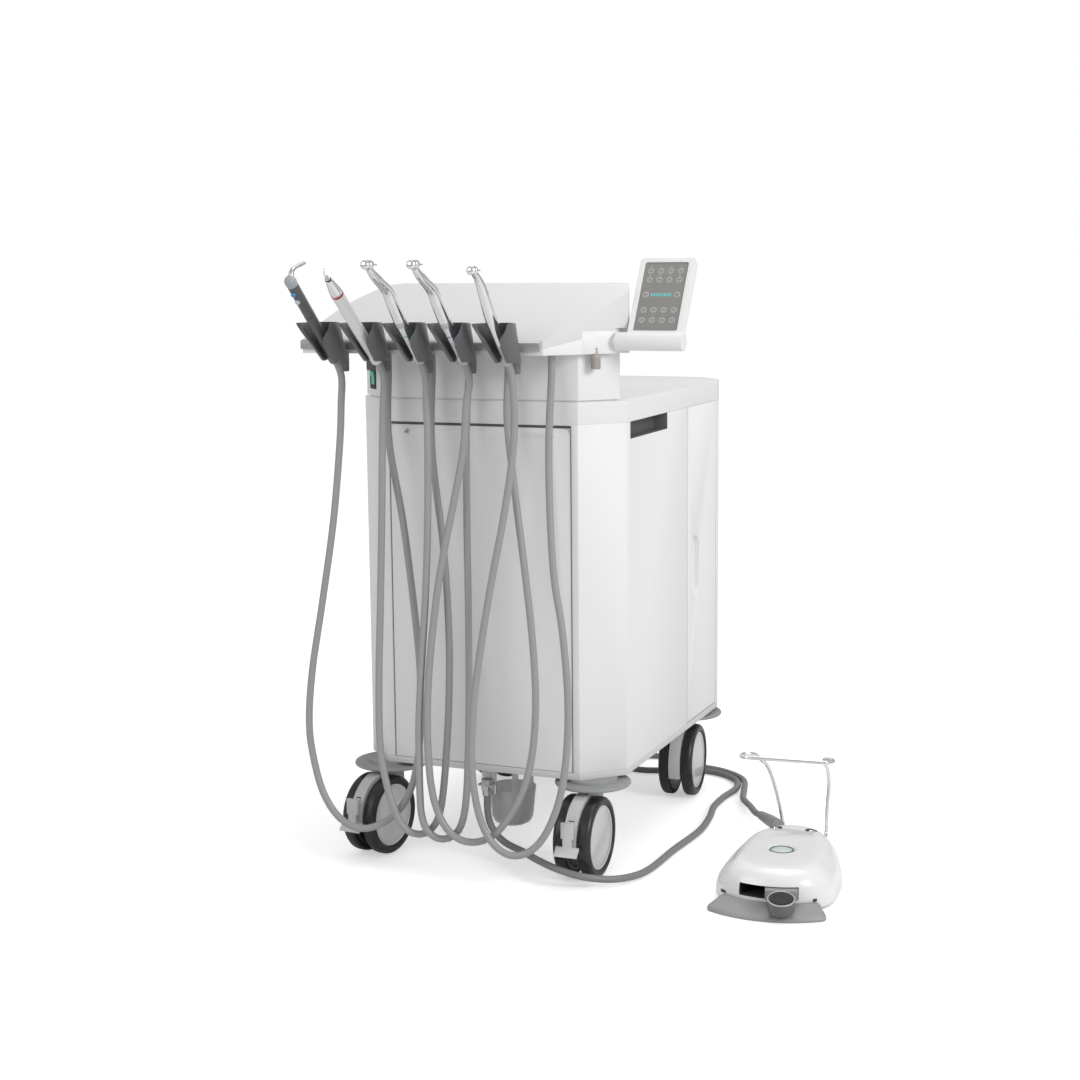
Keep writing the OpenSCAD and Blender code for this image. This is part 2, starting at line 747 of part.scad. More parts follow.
// Cup with level mouth and foot, its wall a taper leaning forward, open along the front
module holder() {
    long = holder_h / cos(holder_lean);
    grow = (holder_mouth_r - holder_foot_r) / long;
    more = 40;
    foot_r = holder_foot_r - grow * more;
    mouth_r = holder_mouth_r + grow * more;
    slot = [[5.5, -more], [5.5, 0], [9.5, long * 0.7], [13, long * 0.88], [24, long * 1.05],
        [40, long + more]];
    difference() {
        intersection() {
            union() {
                rotate([holder_lean, 0, 0]) translate([0, 0, -more])
                    cylinder(h = long + 2 * more, r1 = foot_r, r2 = mouth_r, $fn = 64);
                translate([-13, -20, lip_z - 12 - holder_z]) cube([26, 30, 11]);
            }
            translate([-60, -160, 0]) cube([120, 200, holder_h]);
        }
        rotate([holder_lean, 0, 0]) translate([0, 0, -more]) {
            cylinder(h = long + 2 * more, r1 = foot_r - holder_wall, r2 = mouth_r - holder_wall,
                $fn = 64);
            translate([0, 0, more]) rotate([90, 0, 0]) linear_extrude(80) polygon(concat(slot,
                [for (i = [len(slot) - 1:-1:0]) [-slot[i].x, slot[i].y]]));
        }
        translate([-60, lip_y - holder_y, console_z - holder_z]) cube([120, 60, 80]);
    }
}

module instrument_holders() placed(dark) for (i = [0:4]) at_holder(i) holder();

// ---------- flow knobs ----------

knob_y = lip_y + 21;
knob_aside = 3.4;   // knobs stand a little to the left of their holders
knob_left_x = holder_x0 + 22;
knob_left_y = front_y + 0.5;
knob_right_x = nose_x + 63;
knob_right_y = lip_y + 67;
knob_h = 28;
knob_stem_d = 6;

module knob_bore(x, y) translate([x, y, console_z - 2]) cylinder(h = 11, d = knob_stem_d + 2 * fit);

module knob(x, y, h) translate([x, y, console_z - h - gap]) difference() {
    union() {
        cylinder(h = h, d = knob_d);
        translate([0, 0, h]) cylinder(h = 8, d = knob_stem_d);
    }
    for (a = [0:30:330]) rotate(a) translate([knob_d / 2 + 0.6, 0, -1])
        cylinder(h = h - 6, d = 2.4, $fn = 16);
}

module knob_1() placed(grey) knob(holder_x(0) - knob_aside, knob_y, knob_h);
module knob_2() placed(grey) knob(holder_x(1) - knob_aside, knob_y, knob_h);
module knob_3() placed(grey) knob(holder_x(2) - knob_aside, knob_y, knob_h);
module knob_4() placed(grey) knob(holder_x(3) - knob_aside, knob_y, knob_h);
module knob_5() placed(grey) knob(holder_x(4) - knob_aside, knob_y, knob_h);
module knob_left() placed(grey) knob(knob_left_x, knob_left_y, knob_h);
module knob_right() placed(grey) knob(knob_right_x, knob_right_y, knob_h - 6);

// ---------- control panel ----------

// Frame of the panel: Z runs up the panel from the hinge axis, -Y is its face
module at_panel() translate([panel_x, hinge_y, hinge_z]) rotate([-panel_lean, 0, 0]) children();

key_w = 68;
key_l = 116;
key_z = 15;
key_t = 1.5;

module rounded_bar(w, l, r) {
    translate([r, 0]) square([w - 2 * r, l]);
    translate([0, r]) square([w, l - 2 * r]);
    for (x = [r, w - r]) for (y = [r, l - r]) translate([x, y]) circle(r);
}

module control_panel() placed(white) at_panel() difference() {
    union() {
        translate([0, panel_t / 2, 4]) rotate([90, 0, 0]) linear_extrude(panel_t)
            rounded_bar(panel_w, panel_l - 4, 5);
        translate([hinge_x - panel_x, 0, 0]) rotate([0, 90, 0])
            cylinder(h = panel_x - hinge_x + panel_w + 2, d = barrel_d, $fn = 64);
    }
    translate([hinge_x - panel_x - 1, 0, 0]) rotate([0, 90, 0])
        cylinder(h = panel_x - hinge_x + panel_w - 4, d = shaft_d + 2 * fit);
    translate([8, -panel_t / 2 + key_t + 0.8, key_z]) rotate([90, 0, 0])
        linear_extrude(key_t + 2) rounded_bar(key_w, key_l, 3);
    rotate([panel_lean, 0, 0]) for (x = [4, panel_w - 18]) translate([x, 0, -barrel_d / 2 - 1])
        cylinder(h = 5, d = 6);
}

// Sealed keypad sheet with its raised round key domes
module keypad() placed(dark) at_panel() translate([8, -panel_t / 2 + key_t + 0.8, key_z]) {
    rotate([90, 0, 0]) translate([gap / 4, gap / 4, 0]) linear_extrude(key_t)
        rounded_bar(key_w - gap / 2, key_l - gap / 2, 3);
    for (z = [12, 30, 84, 99]) for (i = [0:3]) translate([11 + i * 16.5, -key_t, z])
        rotate([90, 0, 0]) cylinder(h = 0.6, d = 10);
    for (x = [10, 61]) translate([x, -key_t, 57]) rotate([90, 0, 0]) cylinder(h = 0.6, d = 11);
}

// ---------- handpieces ----------

// A handpiece stands in holder i: Z along its axis, Y toward the cabinet
module at_tool(i, lean) translate([holder_x(i), tool_y, tool_z]) rotate([lean, 0, 0])
    children();

tool_drop = 4;

// Body through stations [back, along, radius], with a ball a little proud at each bend
module body_of(s) {
    for (k = [0:len(s) - 2])
        rod([0, s[k][0], s[k][1]], [0, s[k + 1][0], s[k + 1][1]], s[k][2], s[k + 1][2]);
    for (k = [1:len(s) - 2]) if (turned(s[k - 1], s[k], s[k + 1]))
        translate([0, s[k][0], s[k][1]]) sphere(r = s[k][2] + 0.6);
}

function turned(a, b, c) =
    abs((b[0] - a[0]) * (c[1] - b[1]) - (b[1] - a[1]) * (c[0] - b[0])) > 1;

module tool_coupling() {
    translate([0, 0, -tool_drop]) cylinder(h = 14, r = coupling_r);
    translate([0, 0, 10]) cylinder(h = 4, r1 = coupling_r, r2 = 7);
}

button_d = 7;
button_travel = 2;
module button_bore(z) translate([0, -3, z]) rotate([90, 0, 0])
    cylinder(h = 20, d = button_d + 2 * fit);

// Three-way syringe: square-shouldered body, bent head and a curved nozzle
module syringe() placed(dark) at_tool(0, 47) {
    difference() {
        union() {
            tool_coupling();
            body_of([[0, 8, 8], [0, 172, 8.5]]);
            translate([0, 0, 172]) sphere(r = 9);
            sweep([[0, 2, 174], [0, 14, 179], [0, 24, 176], [0, 48, 160]], 2.8, 6, 12);
        }
        for (z = [138, 154]) button_bore(z);
    }
}

module syringe_button(z) at_tool(0, 47) translate([0, -5, z]) rotate([90, 0, 0]) {
    cylinder(h = 6.5, d = button_d);
}
module air_button() placed([0.2, 0.45, 0.8]) syringe_button(154);
module water_button() placed([0.2, 0.45, 0.8]) syringe_button(138);

// Ultrasonic scaler: sleeve, cone, collar and hooked tip
module scaler() placed(white) at_tool(1, 50) {
    tool_coupling();
    body_of([[0, 8, 8.5], [0, 40, 9.2], [0, 150, 9.2], [0, 158, 9.6], [0, 184, 5], [0, 190, 4.6],
        [0, 194, 2.2]]);
    sweep([[0, 0, 190], [0, -2, 198], [0, 0, 204], [0, 4, 206], [0, 9, 204]], 1.3, 4, 8);
}

// Contra-angle: body, elbow, neck, head and bur
module contra_angle() {
    tool_coupling();
    body_of([[0, 8, 8.5], [0, 80, 9.5], [5, 145, 8.5], [-9, 188, 5.5], [-11, 208, 4.5]]);
    rod([0, 10, 150], [0, -3, 196], 1.4, 1.4);
    rotate([-46, 0, 0]) tool_head([0, -160, 141], 6.5, 9, 9);
}

// Round head across the neck with its bur, toward the cabinet
module tool_head(at, r, front, back) translate(at) rotate([-90, 0, 0]) rotate_extrude()
    polygon([[0, -front - 3], [r - 2, -front - 3], [r, -front], [r, back], [3, back + 3],
        [0.9, back + 3], [0.9, back + 20], [0, back + 20]]);

module contra_angle_left() placed(steel) at_tool(2, 46) contra_angle();
module contra_angle_right() placed(steel) at_tool(3, 46) contra_angle();

// Smooth turbine: swan neck and a round head
module turbine() placed(steel) at_tool(4, 40) {
    tool_coupling();
    body_of([[0, 8, 8.5], [-4, 40, 9], [-3, 90, 9], [1, 140, 7.2], [-3, 165, 5], [-9, 180, 4.4]]);
    rotate([-40, 0, 0]) tool_head([0, -119, 132], 6.3, 7, 6);
}

// ---------- hoses ----------

ring_gap = 27;
outlet_y = lip_y + 37;

// Hose routes below the couplings, chosen by hand, in the cabinet's own frame
route_1 = [[-202, -328, 724], [-204, -332, 661], [-213, -342, 542], [-230, -352, 418],
    [-246, -362, 308], [-249, -371, 229], [-241, -376, 175], [-221, -382, 118],
    [-193, -381, 80], [-158, -378, 67], [-122, -373, 79], [-93, -368, 106], [-75, -361, 148],
    [-68, -352, 209], [-69, -345, 270], [-75, -336, 350], [-103, -320, 529], [-134, -304, 664]];
route_2 = [[-130, -328, 727], [-131, -332, 665], [-130, -342, 546], [-130, -352, 424],
    [-130, -363, 301], [-125, -374, 205], [-113, -381, 150], [-98, -385, 108], [-87, -384, 84],
    [-70, -378, 69], [-52, -371, 69], [-38, -365, 83], [-30, -361, 108], [-25, -355, 160],
    [-22, -344, 260], [-24, -334, 370], [-37, -320, 501], [-61, -305, 651]];
route_3 = [[-58, -328, 727], [-55, -332, 665], [-53, -341, 549], [-54, -350, 444],
    [-58, -360, 337], [-60, -370, 245], [-57, -378, 170], [-55, -381, 128], [-52, -383, 101],
    [-44, -383, 79], [-29, -379, 66], [-12, -373, 66], [2, -367, 78], [9, -363, 99],
    [12, -359, 127], [13, -354, 172], [13, -346, 261], [8, -332, 398], [1, -317, 548],
    [-4, -303, 683]];
route_4 = [[8, -328, 727], [4, -333, 656], [-9, -340, 581], [-24, -346, 505], [-36, -352, 429],
    [-45, -362, 323], [-45, -372, 232], [-36, -381, 148], [-20, -384, 100], [2, -382, 73],
    [30, -376, 65], [60, -370, 77], [85, -365, 107], [107, -358, 153], [119, -351, 211],
    [121, -343, 285], [113, -334, 375], [97, -323, 479], [75, -310, 611], [62, -301, 700]];
route_5 = [[86, -329, 709], [83, -333, 643], [71, -341, 555], [52, -350, 449], [35, -360, 333],
    [29, -369, 253], [31, -378, 178], [42, -383, 118], [60, -385, 78], [84, -382, 56],
    [108, -377, 54], [132, -373, 69], [152, -368, 101], [167, -360, 150], [174, -351, 220],
    [172, -342, 300], [160, -332, 393], [144, -323, 471], [134, -312, 569], [129, -301, 670]];
outlet_x = [-138, -64, -3, 61, 131];

exit_r = 40;
exit_l = 14;

// The whole route: straight out of the coupling, round to hang, then up into the console
function tool_route(i, lean, route) =
    let (tail = [holder_x(i), tool_y, tool_z],
        back = [0, sin(lean), -cos(lean)])
    concat([tail + tool_drop * back, tail + exit_l * back],
        [for (a = [lean / 2, 0]) tail + exit_l * back
            + exit_r * [0, cos(a) - cos(lean), sin(a) - sin(lean)]], route,
        [[outlet_x[i], outlet_y, console_z - 30], [outlet_x[i], outlet_y, console_z]]);

module hose(i, lean, route) sweep(tool_route(i, lean, route), hose_d / 2, ring_gap);

module hose_1() placed(hose_grey) hose(0, 47, route_1);
module hose_2() placed(hose_grey) hose(1, 50, route_2);
module hose_3() placed(hose_grey) hose(2, 46, route_3);
module hose_4() placed(hose_grey) hose(3, 46, route_4);
module hose_5() placed(hose_grey) hose(4, 40, route_5);

// Hose of the foot control: from the gland, over the floor, round the rear caster and back
floor_route = [[3.5, -258, 69], [9, -259, 54], [19, -261, 42], [33, -266, 34], [51, -276, 31],
    [79, -299, 33], [118, -335, 35], [155, -348, 29], [195, -343, 20], [230, -317, 12],
    [254, -277, 8], [264, -225, 6], [268, -130, 6], [276, -20, 6], [269, 60, 6], [258, 120, 6],
    [257, 180, 6], [262, 238, 6], [250, 286, 6], [213, 322, 6], [168, 332, 6], [112, 312, 6],
    [70, 299, 6], [39, 305, 6], [19, 324, 6], [12, 350, 6], [19, 376, 6], [39, 395, 6],
    [68, 402, 6], [102, 393, 6], [150, 361, 6], [210, 341, 6], [257, 301, 6], [278, 238, 7],
    [294, 176, 9], [324, 115, 15], [348, 61, 22]];
strain_end = [366, 32, 27];
strain_dir = [0.515, -0.845, 0.13];

module foot_hose() placed(hose_grey)
    sweep(concat([gland, gland - [0, 0, 18]], floor_route, [strain_end]), hose_d / 2, ring_gap);

// ---------- foot control ----------

module at_foot(c) placed(c) translate([foot_x, foot_y, 0]) rotate([0, 0, foot_turn]) children();

// Outline of the housing at the floor, and of its flat top
module foot_plan(d = 0) {
    intersection() {
        circle(r = foot_r - d, $fn = 96);
        translate([-foot_half_w + d, -foot_r]) square([2 * (foot_half_w - d), foot_r + 60]);
    }
    polygon([[-foot_half_w + d, 0], [-foot_half_w + d, 20], [-foot_half_w + 14 + d, 85],
        [-42 + d, 168 - d], [42 - d, 168 - d], [foot_half_w - 14 - d, 85],
        [foot_half_w - d, 20], [foot_half_w - d, 0]]);
}

module foot_top(d = 0) {
    intersection() {
        circle(r = 99 + d, $fn = 48);
        translate([-59 - d, -110]) square([118 + 2 * d, 130]);
    }
    polygon([[-59 - d, 0], [-59 - d, 62], [-36 - d, 122], [-20, 132 + d], [20, 132 + d],
        [36 + d, 122], [59 + d, 62], [59 + d, 0]]);
}

// Base with the grey foot rest that fans out in front
module foot_base() at_foot(grey) {
    linear_extrude(base_foot_t) foot_plan(4);
    intersection() {
        rotate([0, 0, -90 - rest_angle - 5]) rotate_extrude(angle = 2 * rest_angle + 10, $fn = 96)
            polygon([[foot_r - 8, 0], [rest_r, 0], [rest_r, 5], [foot_r + 0.3, 15.5],
                [foot_r + 0.3, base_foot_t], [foot_r - 8, base_foot_t]]);
        translate([-rest_half_w, -200, 0]) cube([2 * rest_half_w, 200, 20]);
    }
}

function lever_half(y) = lever_w / 2 / cos(lever_swing) + y * tan(lever_swing) + 1;

// Space that the lever sweeps through inside the housing
module lever_space() translate([0, 0, window_z]) linear_extrude(window_h) {
    circle(r = lever_w / 2 + 1.5);
    polygon([[-lever_half(0), 0], [-lever_half(foot_r + 10), -foot_r - 10],
        [lever_half(foot_r + 10), -foot_r - 10], [lever_half(0), 0]]);
}

module foot_housing() at_foot(white) {
    difference() {
        union() {
            hull() {
                translate([0, 0, base_foot_t]) linear_extrude(3, $fn = 48) foot_plan();
                translate([0, 0, foot_h - 22]) linear_extrude(2) foot_top(16);
                translate([0, 0, foot_h - 7]) linear_extrude(2) foot_top(4);
                translate([0, 0, foot_h - 2]) linear_extrude(2) foot_top(-1);
            }
        }
        lever_space();
        translate([0, 0, 6]) cylinder(h = foot_h - 12, d = stem_d + 2 * fit);
        for (s = [-1, 1]) translate([s * stud_x, stud_y, foot_h - 26]) {
            cylinder(h = 30, d = 9 + 2 * fit);
            translate([0, 0, 16]) cylinder(h = 20, d = stud_d + 2);
        }
        for (s = [-1, 1]) translate([s * (bail_ear - 12), bail_pivot_y, bail_pivot_z])
            rotate([0, s * 90, 0]) cylinder(h = 40, d = bail_d + 2 * fit);
        for (s = [-1, 1]) translate([s * (bail_ear + 16.3), bail_pivot_y, bail_pivot_z])
            cube([32, 30, 60], center = true);
        translate([0, 0, foot_h - 2]) cylinder(h = 5, d = 40);
        translate([18, 150, foot_h - 2]) cube([24, 60, 30], center = true);
    }
    translate([0, 0, foot_h - 3]) difference() {
        cylinder(h = 3.5, d = 37);
        translate([0, 0, 2.5]) cylinder(h = 3, d = 31);
    }
    strain_relief();
}

// Tapered sleeve where the hose enters
module strain_relief() rotate([0, 0, -foot_turn]) translate(strain_end - [foot_x, foot_y, 0])
    rotate([0, acos(strain_dir.z), atan2(strain_dir.y, strain_dir.x)])
        rotate_extrude() polygon([[0, 0], [7.5, 0], [10, 58], [10, 150], [0, 150]]);

// Lever: a broad arm on an upright pivot with a ribbed round pad at its end
module foot_lever() at_foot(dark) rotate([0, 0, lever_swing]) {
    z = window_z + (window_h - lever_t) / 2;
    translate([0, 0, 7]) cylinder(h = foot_h - 15, d = stem_d);
    translate([0, 0, z]) linear_extrude(lever_t) {
        circle(r = lever_w / 2);
        translate([-lever_w / 2, -foot_r - 9]) square([lever_w, foot_r + 9]);
    }
    translate([0, -lever_out, z + 2]) rotate([13, 0, 0]) lever_pad();
    translate([-14, -lever_out + 2, z]) cube([28, 44, 10]);
}

module lever_pad() difference() {
    translate([0, 0, -8]) cylinder(h = 22, d = pad_d, $fn = 64);
    for (i = [-7:7]) translate([i * 2.6 - 0.5, -pad_d / 2, 13]) cube([1, pad_d, 2]);
}

module foot_button(s) at_foot(steel) translate([s * stud_x, stud_y, 0]) {
    translate([0, 0, foot_h - 21]) cylinder(h = 18, d = 9);
    translate([0, 0, foot_h - 10 + stud_travel + gap]) cylinder(h = 4, d = stud_d);
}
module foot_button_left() foot_button(-1);
module foot_button_right() foot_button(1);

// Wire bail: one side from its pin up to the loop, mirrored for the other
bail_side = [[33, 178, 16], [34, 205, 20], [34, 212, 27], [35, 205, 40], [38.5, 189, 74],
    [44, 168, 115], [47, 132, 149], [49, 95, 168], [52, 64, 184], [57, 50, 189], [64, 46, 190],
    [69, 40, 190], [69, 32, 190], [62, 26, 190], [50, 25, 190]];
function mirrored(p) = [for (i = [len(p) - 1:-1:0]) [-p[i].x, p[i].y, p[i].z]];

module foot_bail() at_foot(steel) {
    sweep(concat([[bail_ear + 4.5, bail_pivot_y + 2, bail_pivot_z - 0.6]], bail_side,
        mirrored(bail_side), [[-bail_ear - 4.5, bail_pivot_y + 2, bail_pivot_z - 0.6]]),
        bail_d / 2, 14, 8, [0, 0, 1]);
    for (s = [-1, 1]) translate([s * (bail_ear - 8), bail_pivot_y, bail_pivot_z])
        rotate([0, s * 90, 0]) cylinder(h = 15, d = bail_d);
}

base_plate();
front_frame();
side_panel_left();
side_panel_right();
rear_cover();
top_slab();
access_panel();
service_door();
compressor();
water_bottle();
valve_block();
bumper_discs();
caster_front_left();
caster_front_right();
caster_rear_left();
caster_rear_right();
wheels_front_left();
wheels_front_right();
wheels_rear_left();
wheels_rear_right();
brake_left();
brake_right();
drain_bowl();
hose_gland();
column();
rocker_frame();
power_rocker();
console_base();
console_cover();
holder_rail();
instrument_holders();
knob_1();
knob_2();
knob_3();
knob_4();
knob_5();
knob_left();
knob_right();
hinge_arm();
control_panel();
keypad();
syringe();
air_button();
water_button();
scaler();
contra_angle_left();
contra_angle_right();
turbine();
hose_1();
hose_2();
hose_3();
hose_4();
hose_5();
foot_hose();
foot_base();
foot_housing();
foot_lever();
foot_bail();
foot_button_left();
foot_button_right();
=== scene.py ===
"""Looks of a portable dental unit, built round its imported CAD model."""

import math

import bmesh
import bpy
from mathutils import Matrix, Vector


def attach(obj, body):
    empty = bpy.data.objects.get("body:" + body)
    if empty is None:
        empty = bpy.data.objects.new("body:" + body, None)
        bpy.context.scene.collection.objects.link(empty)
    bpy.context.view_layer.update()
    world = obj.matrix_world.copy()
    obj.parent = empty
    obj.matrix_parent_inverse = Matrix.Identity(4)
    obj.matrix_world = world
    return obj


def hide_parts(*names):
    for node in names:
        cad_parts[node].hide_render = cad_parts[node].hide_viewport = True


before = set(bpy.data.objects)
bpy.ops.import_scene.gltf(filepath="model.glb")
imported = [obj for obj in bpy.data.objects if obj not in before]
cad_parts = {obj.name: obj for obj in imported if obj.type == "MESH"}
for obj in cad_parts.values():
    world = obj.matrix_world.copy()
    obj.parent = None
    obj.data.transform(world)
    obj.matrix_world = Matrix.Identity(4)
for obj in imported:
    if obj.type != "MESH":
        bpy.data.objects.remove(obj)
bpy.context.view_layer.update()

bl_info = {
    "name": "Portable dental unit",
    "version": (1, 0, 0),
    "blender": (4, 5, 0),
    "location": "View3D > Sidebar > Dental Unit",
    "description": "Builds the finished pieces, materials, lights and camera of a portable dental unit",
    "category": "Object",
}

# ---------------------------------------------------------------- places
# Lengths below are millimetres in the cabinet's own frame: x from its centre line,
# y from the middle of the casters, z from the floor. ORIGIN is the row frame's origin in it.
ORIGIN = Vector((150.4113, -87.5, 0.0))
FRONT_Y, LIP_Y, LIP_Z = -270.0, -330.0, 815.0
CONSOLE_Z, SLAB_Z, SHELL_Z = 797.0, 692.0, 156.0
NOSE_X = 433 + 16.6 * math.sqrt(2) + LIP_Y
ACCESS_W = 300.0
GRIP = (-200, -15, 664, 695)  # the grip pockets: y from and to, z from and to
HOLDER_X = [NOSE_X - 328 + 71.3 * i for i in range(5)]
TOOL_Y, TOOL_Z = LIP_Y - 18, CONSOLE_Z - 7
LEANS = [47, 50, 46, 46, 40]
HINGE = Vector((215.0, LIP_Y + 88, LIP_Z))
CASTERS = {
    "front_left": (-173, -240, 172),
    "front_right": (173, -240, 180),
    "rear_left": (-173, 240, 176),
    "rear_right": (173, 240, 184),
}
TO_ROW = Matrix.Scale(0.001, 4) @ Matrix.Translation(-ORIGIN)
TO_UNIT = TO_ROW.inverted()


def turn(axis, degrees):
    return Matrix.Rotation(math.radians(degrees), 4, axis)


def move(x, y, z):
    return Matrix.Translation((x, y, z))


def tool_place(i):
    return move(HOLDER_X[i], TOOL_Y, TOOL_Z) @ turn("X", LEANS[i])


PANEL_PLACE = move(HINGE.x + 16, HINGE.y, HINGE.z) @ turn("X", -31)
FOOT_PLACE = move(470, -228, 0) @ turn("Z", 4.8)


def caster_place(key):
    x, y, angle = CASTERS[key]
    return move(x, y, 0) @ turn("Z", angle)


# ---------------------------------------------------------------- settings


class UnitSettings(bpy.types.PropertyGroup):
    """Colours and small sizes that a user would change"""

    paint: bpy.props.FloatVectorProperty(
        name="Cabinet paint", description="Colour of the powder-coated shell",
        subtype="COLOR", size=3, min=0, max=1, default=(0.80, 0.80, 0.795))
    hose: bpy.props.FloatVectorProperty(
        name="Hose", description="Colour of the silicone hoses",
        subtype="COLOR", size=3, min=0, max=1, default=(0.31, 0.315, 0.315))
    holder: bpy.props.FloatVectorProperty(
        name="Holders", description="Colour of the handpiece holders",
        subtype="COLOR", size=3, min=0, max=1, default=(0.125, 0.125, 0.128))
    lamp: bpy.props.FloatVectorProperty(
        name="Lamps", description="Colour of the lamps on the keypad",
        subtype="COLOR", size=3, min=0, max=1, default=(0.10, 0.42, 0.40))
    edge: bpy.props.FloatProperty(
        name="Edge radius", description="Softening of the sheet-metal edges",
        subtype="DISTANCE", min=0.0003, max=0.004, default=0.0012, precision=4)


def settings():
    return bpy.context.scene.dental_unit


# ---------------------------------------------------------------- shader groups


def add_node(tree, kind, inputs=(), **attributes):
    """A new node; each of its inputs takes a value or another node's socket"""
    node = tree.nodes.new(kind)
    for key, value in attributes.items():
        setattr(node, key, value)
    for key, value in dict(inputs).items():
        if isinstance(value, bpy.types.NodeSocket):
            tree.links.new(value, node.inputs[key])
        else:
            node.inputs[key].default_value = value
    return node


def group_socket(tree, name, kind, way, value=None):
    s = tree.interface.new_socket(name=name, in_out=way, socket_type=kind)
    if value is not None:
        s.default_value = value
    return s


def surface_group():
    """Shared finish: patchy shade, fine grain and a roughness that changes with them"""
    g = bpy.data.node_groups.get("moulded_grain")
    if g:
        return g
    g = bpy.data.node_groups.new("moulded_grain", "ShaderNodeTree")
    for name, kind, value in (
        ("Colour", "NodeSocketColor", (0.8, 0.8, 0.8, 1)),
        ("Shade Change", "NodeSocketFloat", 0.04), ("Patch Scale", "NodeSocketFloat", 6.0),
        ("Grain Scale", "NodeSocketFloat", 900.0), ("Grain Depth", "NodeSocketFloat", 0.1),
        ("Roughness", "NodeSocketFloat", 0.4), ("Roughness Change", "NodeSocketFloat", 0.08),
        ("Stretch", "NodeSocketVector", (1, 1, 1)), ("Edge Wear", "NodeSocketFloat", 0.0),
    ):
        group_socket(g, name, kind, "INPUT", value)
    for name, kind in (("Colour", "NodeSocketColor"), ("Roughness", "NodeSocketFloat"),
                       ("Normal", "NodeSocketVector")):
        group_socket(g, name, kind, "OUTPUT")
    given = add_node(g, "NodeGroupInput").outputs
    place = add_node(g, "ShaderNodeTexCoord").outputs["Object"]
    stretch = add_node(g, "ShaderNodeVectorMath", {0: place, 1: given["Stretch"]}, operation="MULTIPLY")
    patch = add_node(g, "ShaderNodeTexNoise", {"Detail": 3, "Vector": place, "Scale": given["Patch Scale"]})
    grain = add_node(g, "ShaderNodeTexNoise", {"Detail": 2, "Vector": stretch.outputs[0],
                                               "Scale": given["Grain Scale"]})
    centred = add_node(g, "ShaderNodeMath", {0: patch.outputs["Fac"], 1: 0.5},
                       operation="SUBTRACT").outputs[0]
    shade = add_node(g, "ShaderNodeMath", {0: centred, 1: given["Shade Change"], 2: 1.0},
                     operation="MULTIPLY_ADD")
    tint = add_node(g, "ShaderNodeVectorMath", {0: given["Colour"], "Scale": shade.outputs[0]},
                    operation="SCALE")
    edge = add_node(g, "ShaderNodeNewGeometry").outputs["Pointiness"]
    worn = add_node(g, "ShaderNodeMapRange", {"From Min": 0.52, "From Max": 0.62, "Value": edge})
    amount = add_node(g, "ShaderNodeMath", {0: worn.outputs["Result"], 1: given["Edge Wear"]},
                      operation="MULTIPLY")
    mix = add_node(g, "ShaderNodeMix", {"B": (0.5, 0.5, 0.5, 1), "Factor": amount.outputs[0],
                                        "A": tint.outputs[0]},
                   data_type="RGBA", blend_type="SCREEN")
    rough = add_node(g, "ShaderNodeMath", {0: centred, 1: given["Roughness Change"], 2: given["Roughness"]},
                     operation="MULTIPLY_ADD", use_clamp=True)
    bump = add_node(g, "ShaderNodeBump", {"Distance": 0.0004, "Height": grain.outputs["Fac"],
                                          "Strength": given["Grain Depth"]})
    add_node(g, "NodeGroupOutput", {"Colour": mix.outputs["Result"], "Roughness": rough.outputs[0],
                                    "Normal": bump.outputs["Normal"]})
    return g


def finish(name, colour, rough=0.4, change=0.04, patch=6.0, grain=900.0, depth=0.08, spread=0.08,
           stretch=(1, 1, 1), wear=0.0, metal=0.0, coat=0.0, glow=0.0, clear=0.0, sheen=0.0, alpha=1.0):
    """A material with the shared grain group in front of its shader"""
    m = bpy.data.materials.get(name)
    if m:
        return m
    m = bpy.data.materials.new(name)
    m.use_nodes = True
    link = m.node_tree.links.new
    shader = m.node_tree.nodes["Principled BSDF"]
    g = add_node(m.node_tree, "ShaderNodeGroup", {
        "Colour": (*colour, 1), "Shade Change": change, "Patch Scale": patch, "Grain Scale": grain,
        "Grain Depth": depth,
        "Roughness": rough, "Roughness Change": spread, "Stretch": stretch, "Edge Wear": wear},
                 node_tree=surface_group())
    link(g.outputs["Colour"], shader.inputs["Base Color"])
    link(g.outputs["Roughness"], shader.inputs["Roughness"])
    link(g.outputs["Normal"], shader.inputs["Normal"])
    values = {"Metallic": metal}
    if coat:
        values.update({"Coat Weight": coat, "Coat Roughness": 0.08})
    if alpha < 1:
        values["Alpha"] = alpha
    if sheen:
        values["Sheen Weight"] = sheen
    if glow:
        link(g.outputs["Colour"], shader.inputs["Emission Color"])
        values["Emission Strength"] = glow
    if clear:
        values.update({"Transmission Weight": clear, "IOR": 1.45})
    for key, value in values.items():
        shader.inputs[key].default_value = value
    m.diffuse_color = (*colour, 1)
    return m


def paint():
    return finish("cabinet_powder_coat", settings().paint, rough=0.5, change=0.02, grain=1400, depth=0.12,
                  wear=0.15)


def slab_white():
    return finish("worktop_moulding", (0.78, 0.78, 0.775), rough=0.42, change=0.02, grain=1100, depth=0.06,
                  wear=0.1)


def base_paint():
    return finish("base_enamel", (0.62, 0.625, 0.625), rough=0.45, change=0.03, grain=1400, depth=0.1,
                  wear=0.2)


def console_white():
    return finish("console_side_moulding", (0.80, 0.80, 0.795), rough=0.45, change=0.02, grain=1500,
                  depth=0.12)


def console_grey():
    return finish("console_top_moulding", (0.70, 0.70, 0.695), rough=0.5, change=0.025, grain=1700, depth=0.2)


def rail_grey():
    return finish("rail_anodised", (0.42, 0.425, 0.43), rough=0.35, metal=0.6, grain=500, depth=0.08,
                  stretch=(0.05, 1, 1))


def holder_grey():
    return finish("holder_moulding", settings().holder, rough=0.36, change=0.06, grain=1500, depth=0.1,
                  wear=0.12)


def knob_grey():
    return finish("knob_moulding", (0.20, 0.185, 0.17), rough=0.42, change=0.08, grain=1200, wear=0.2)


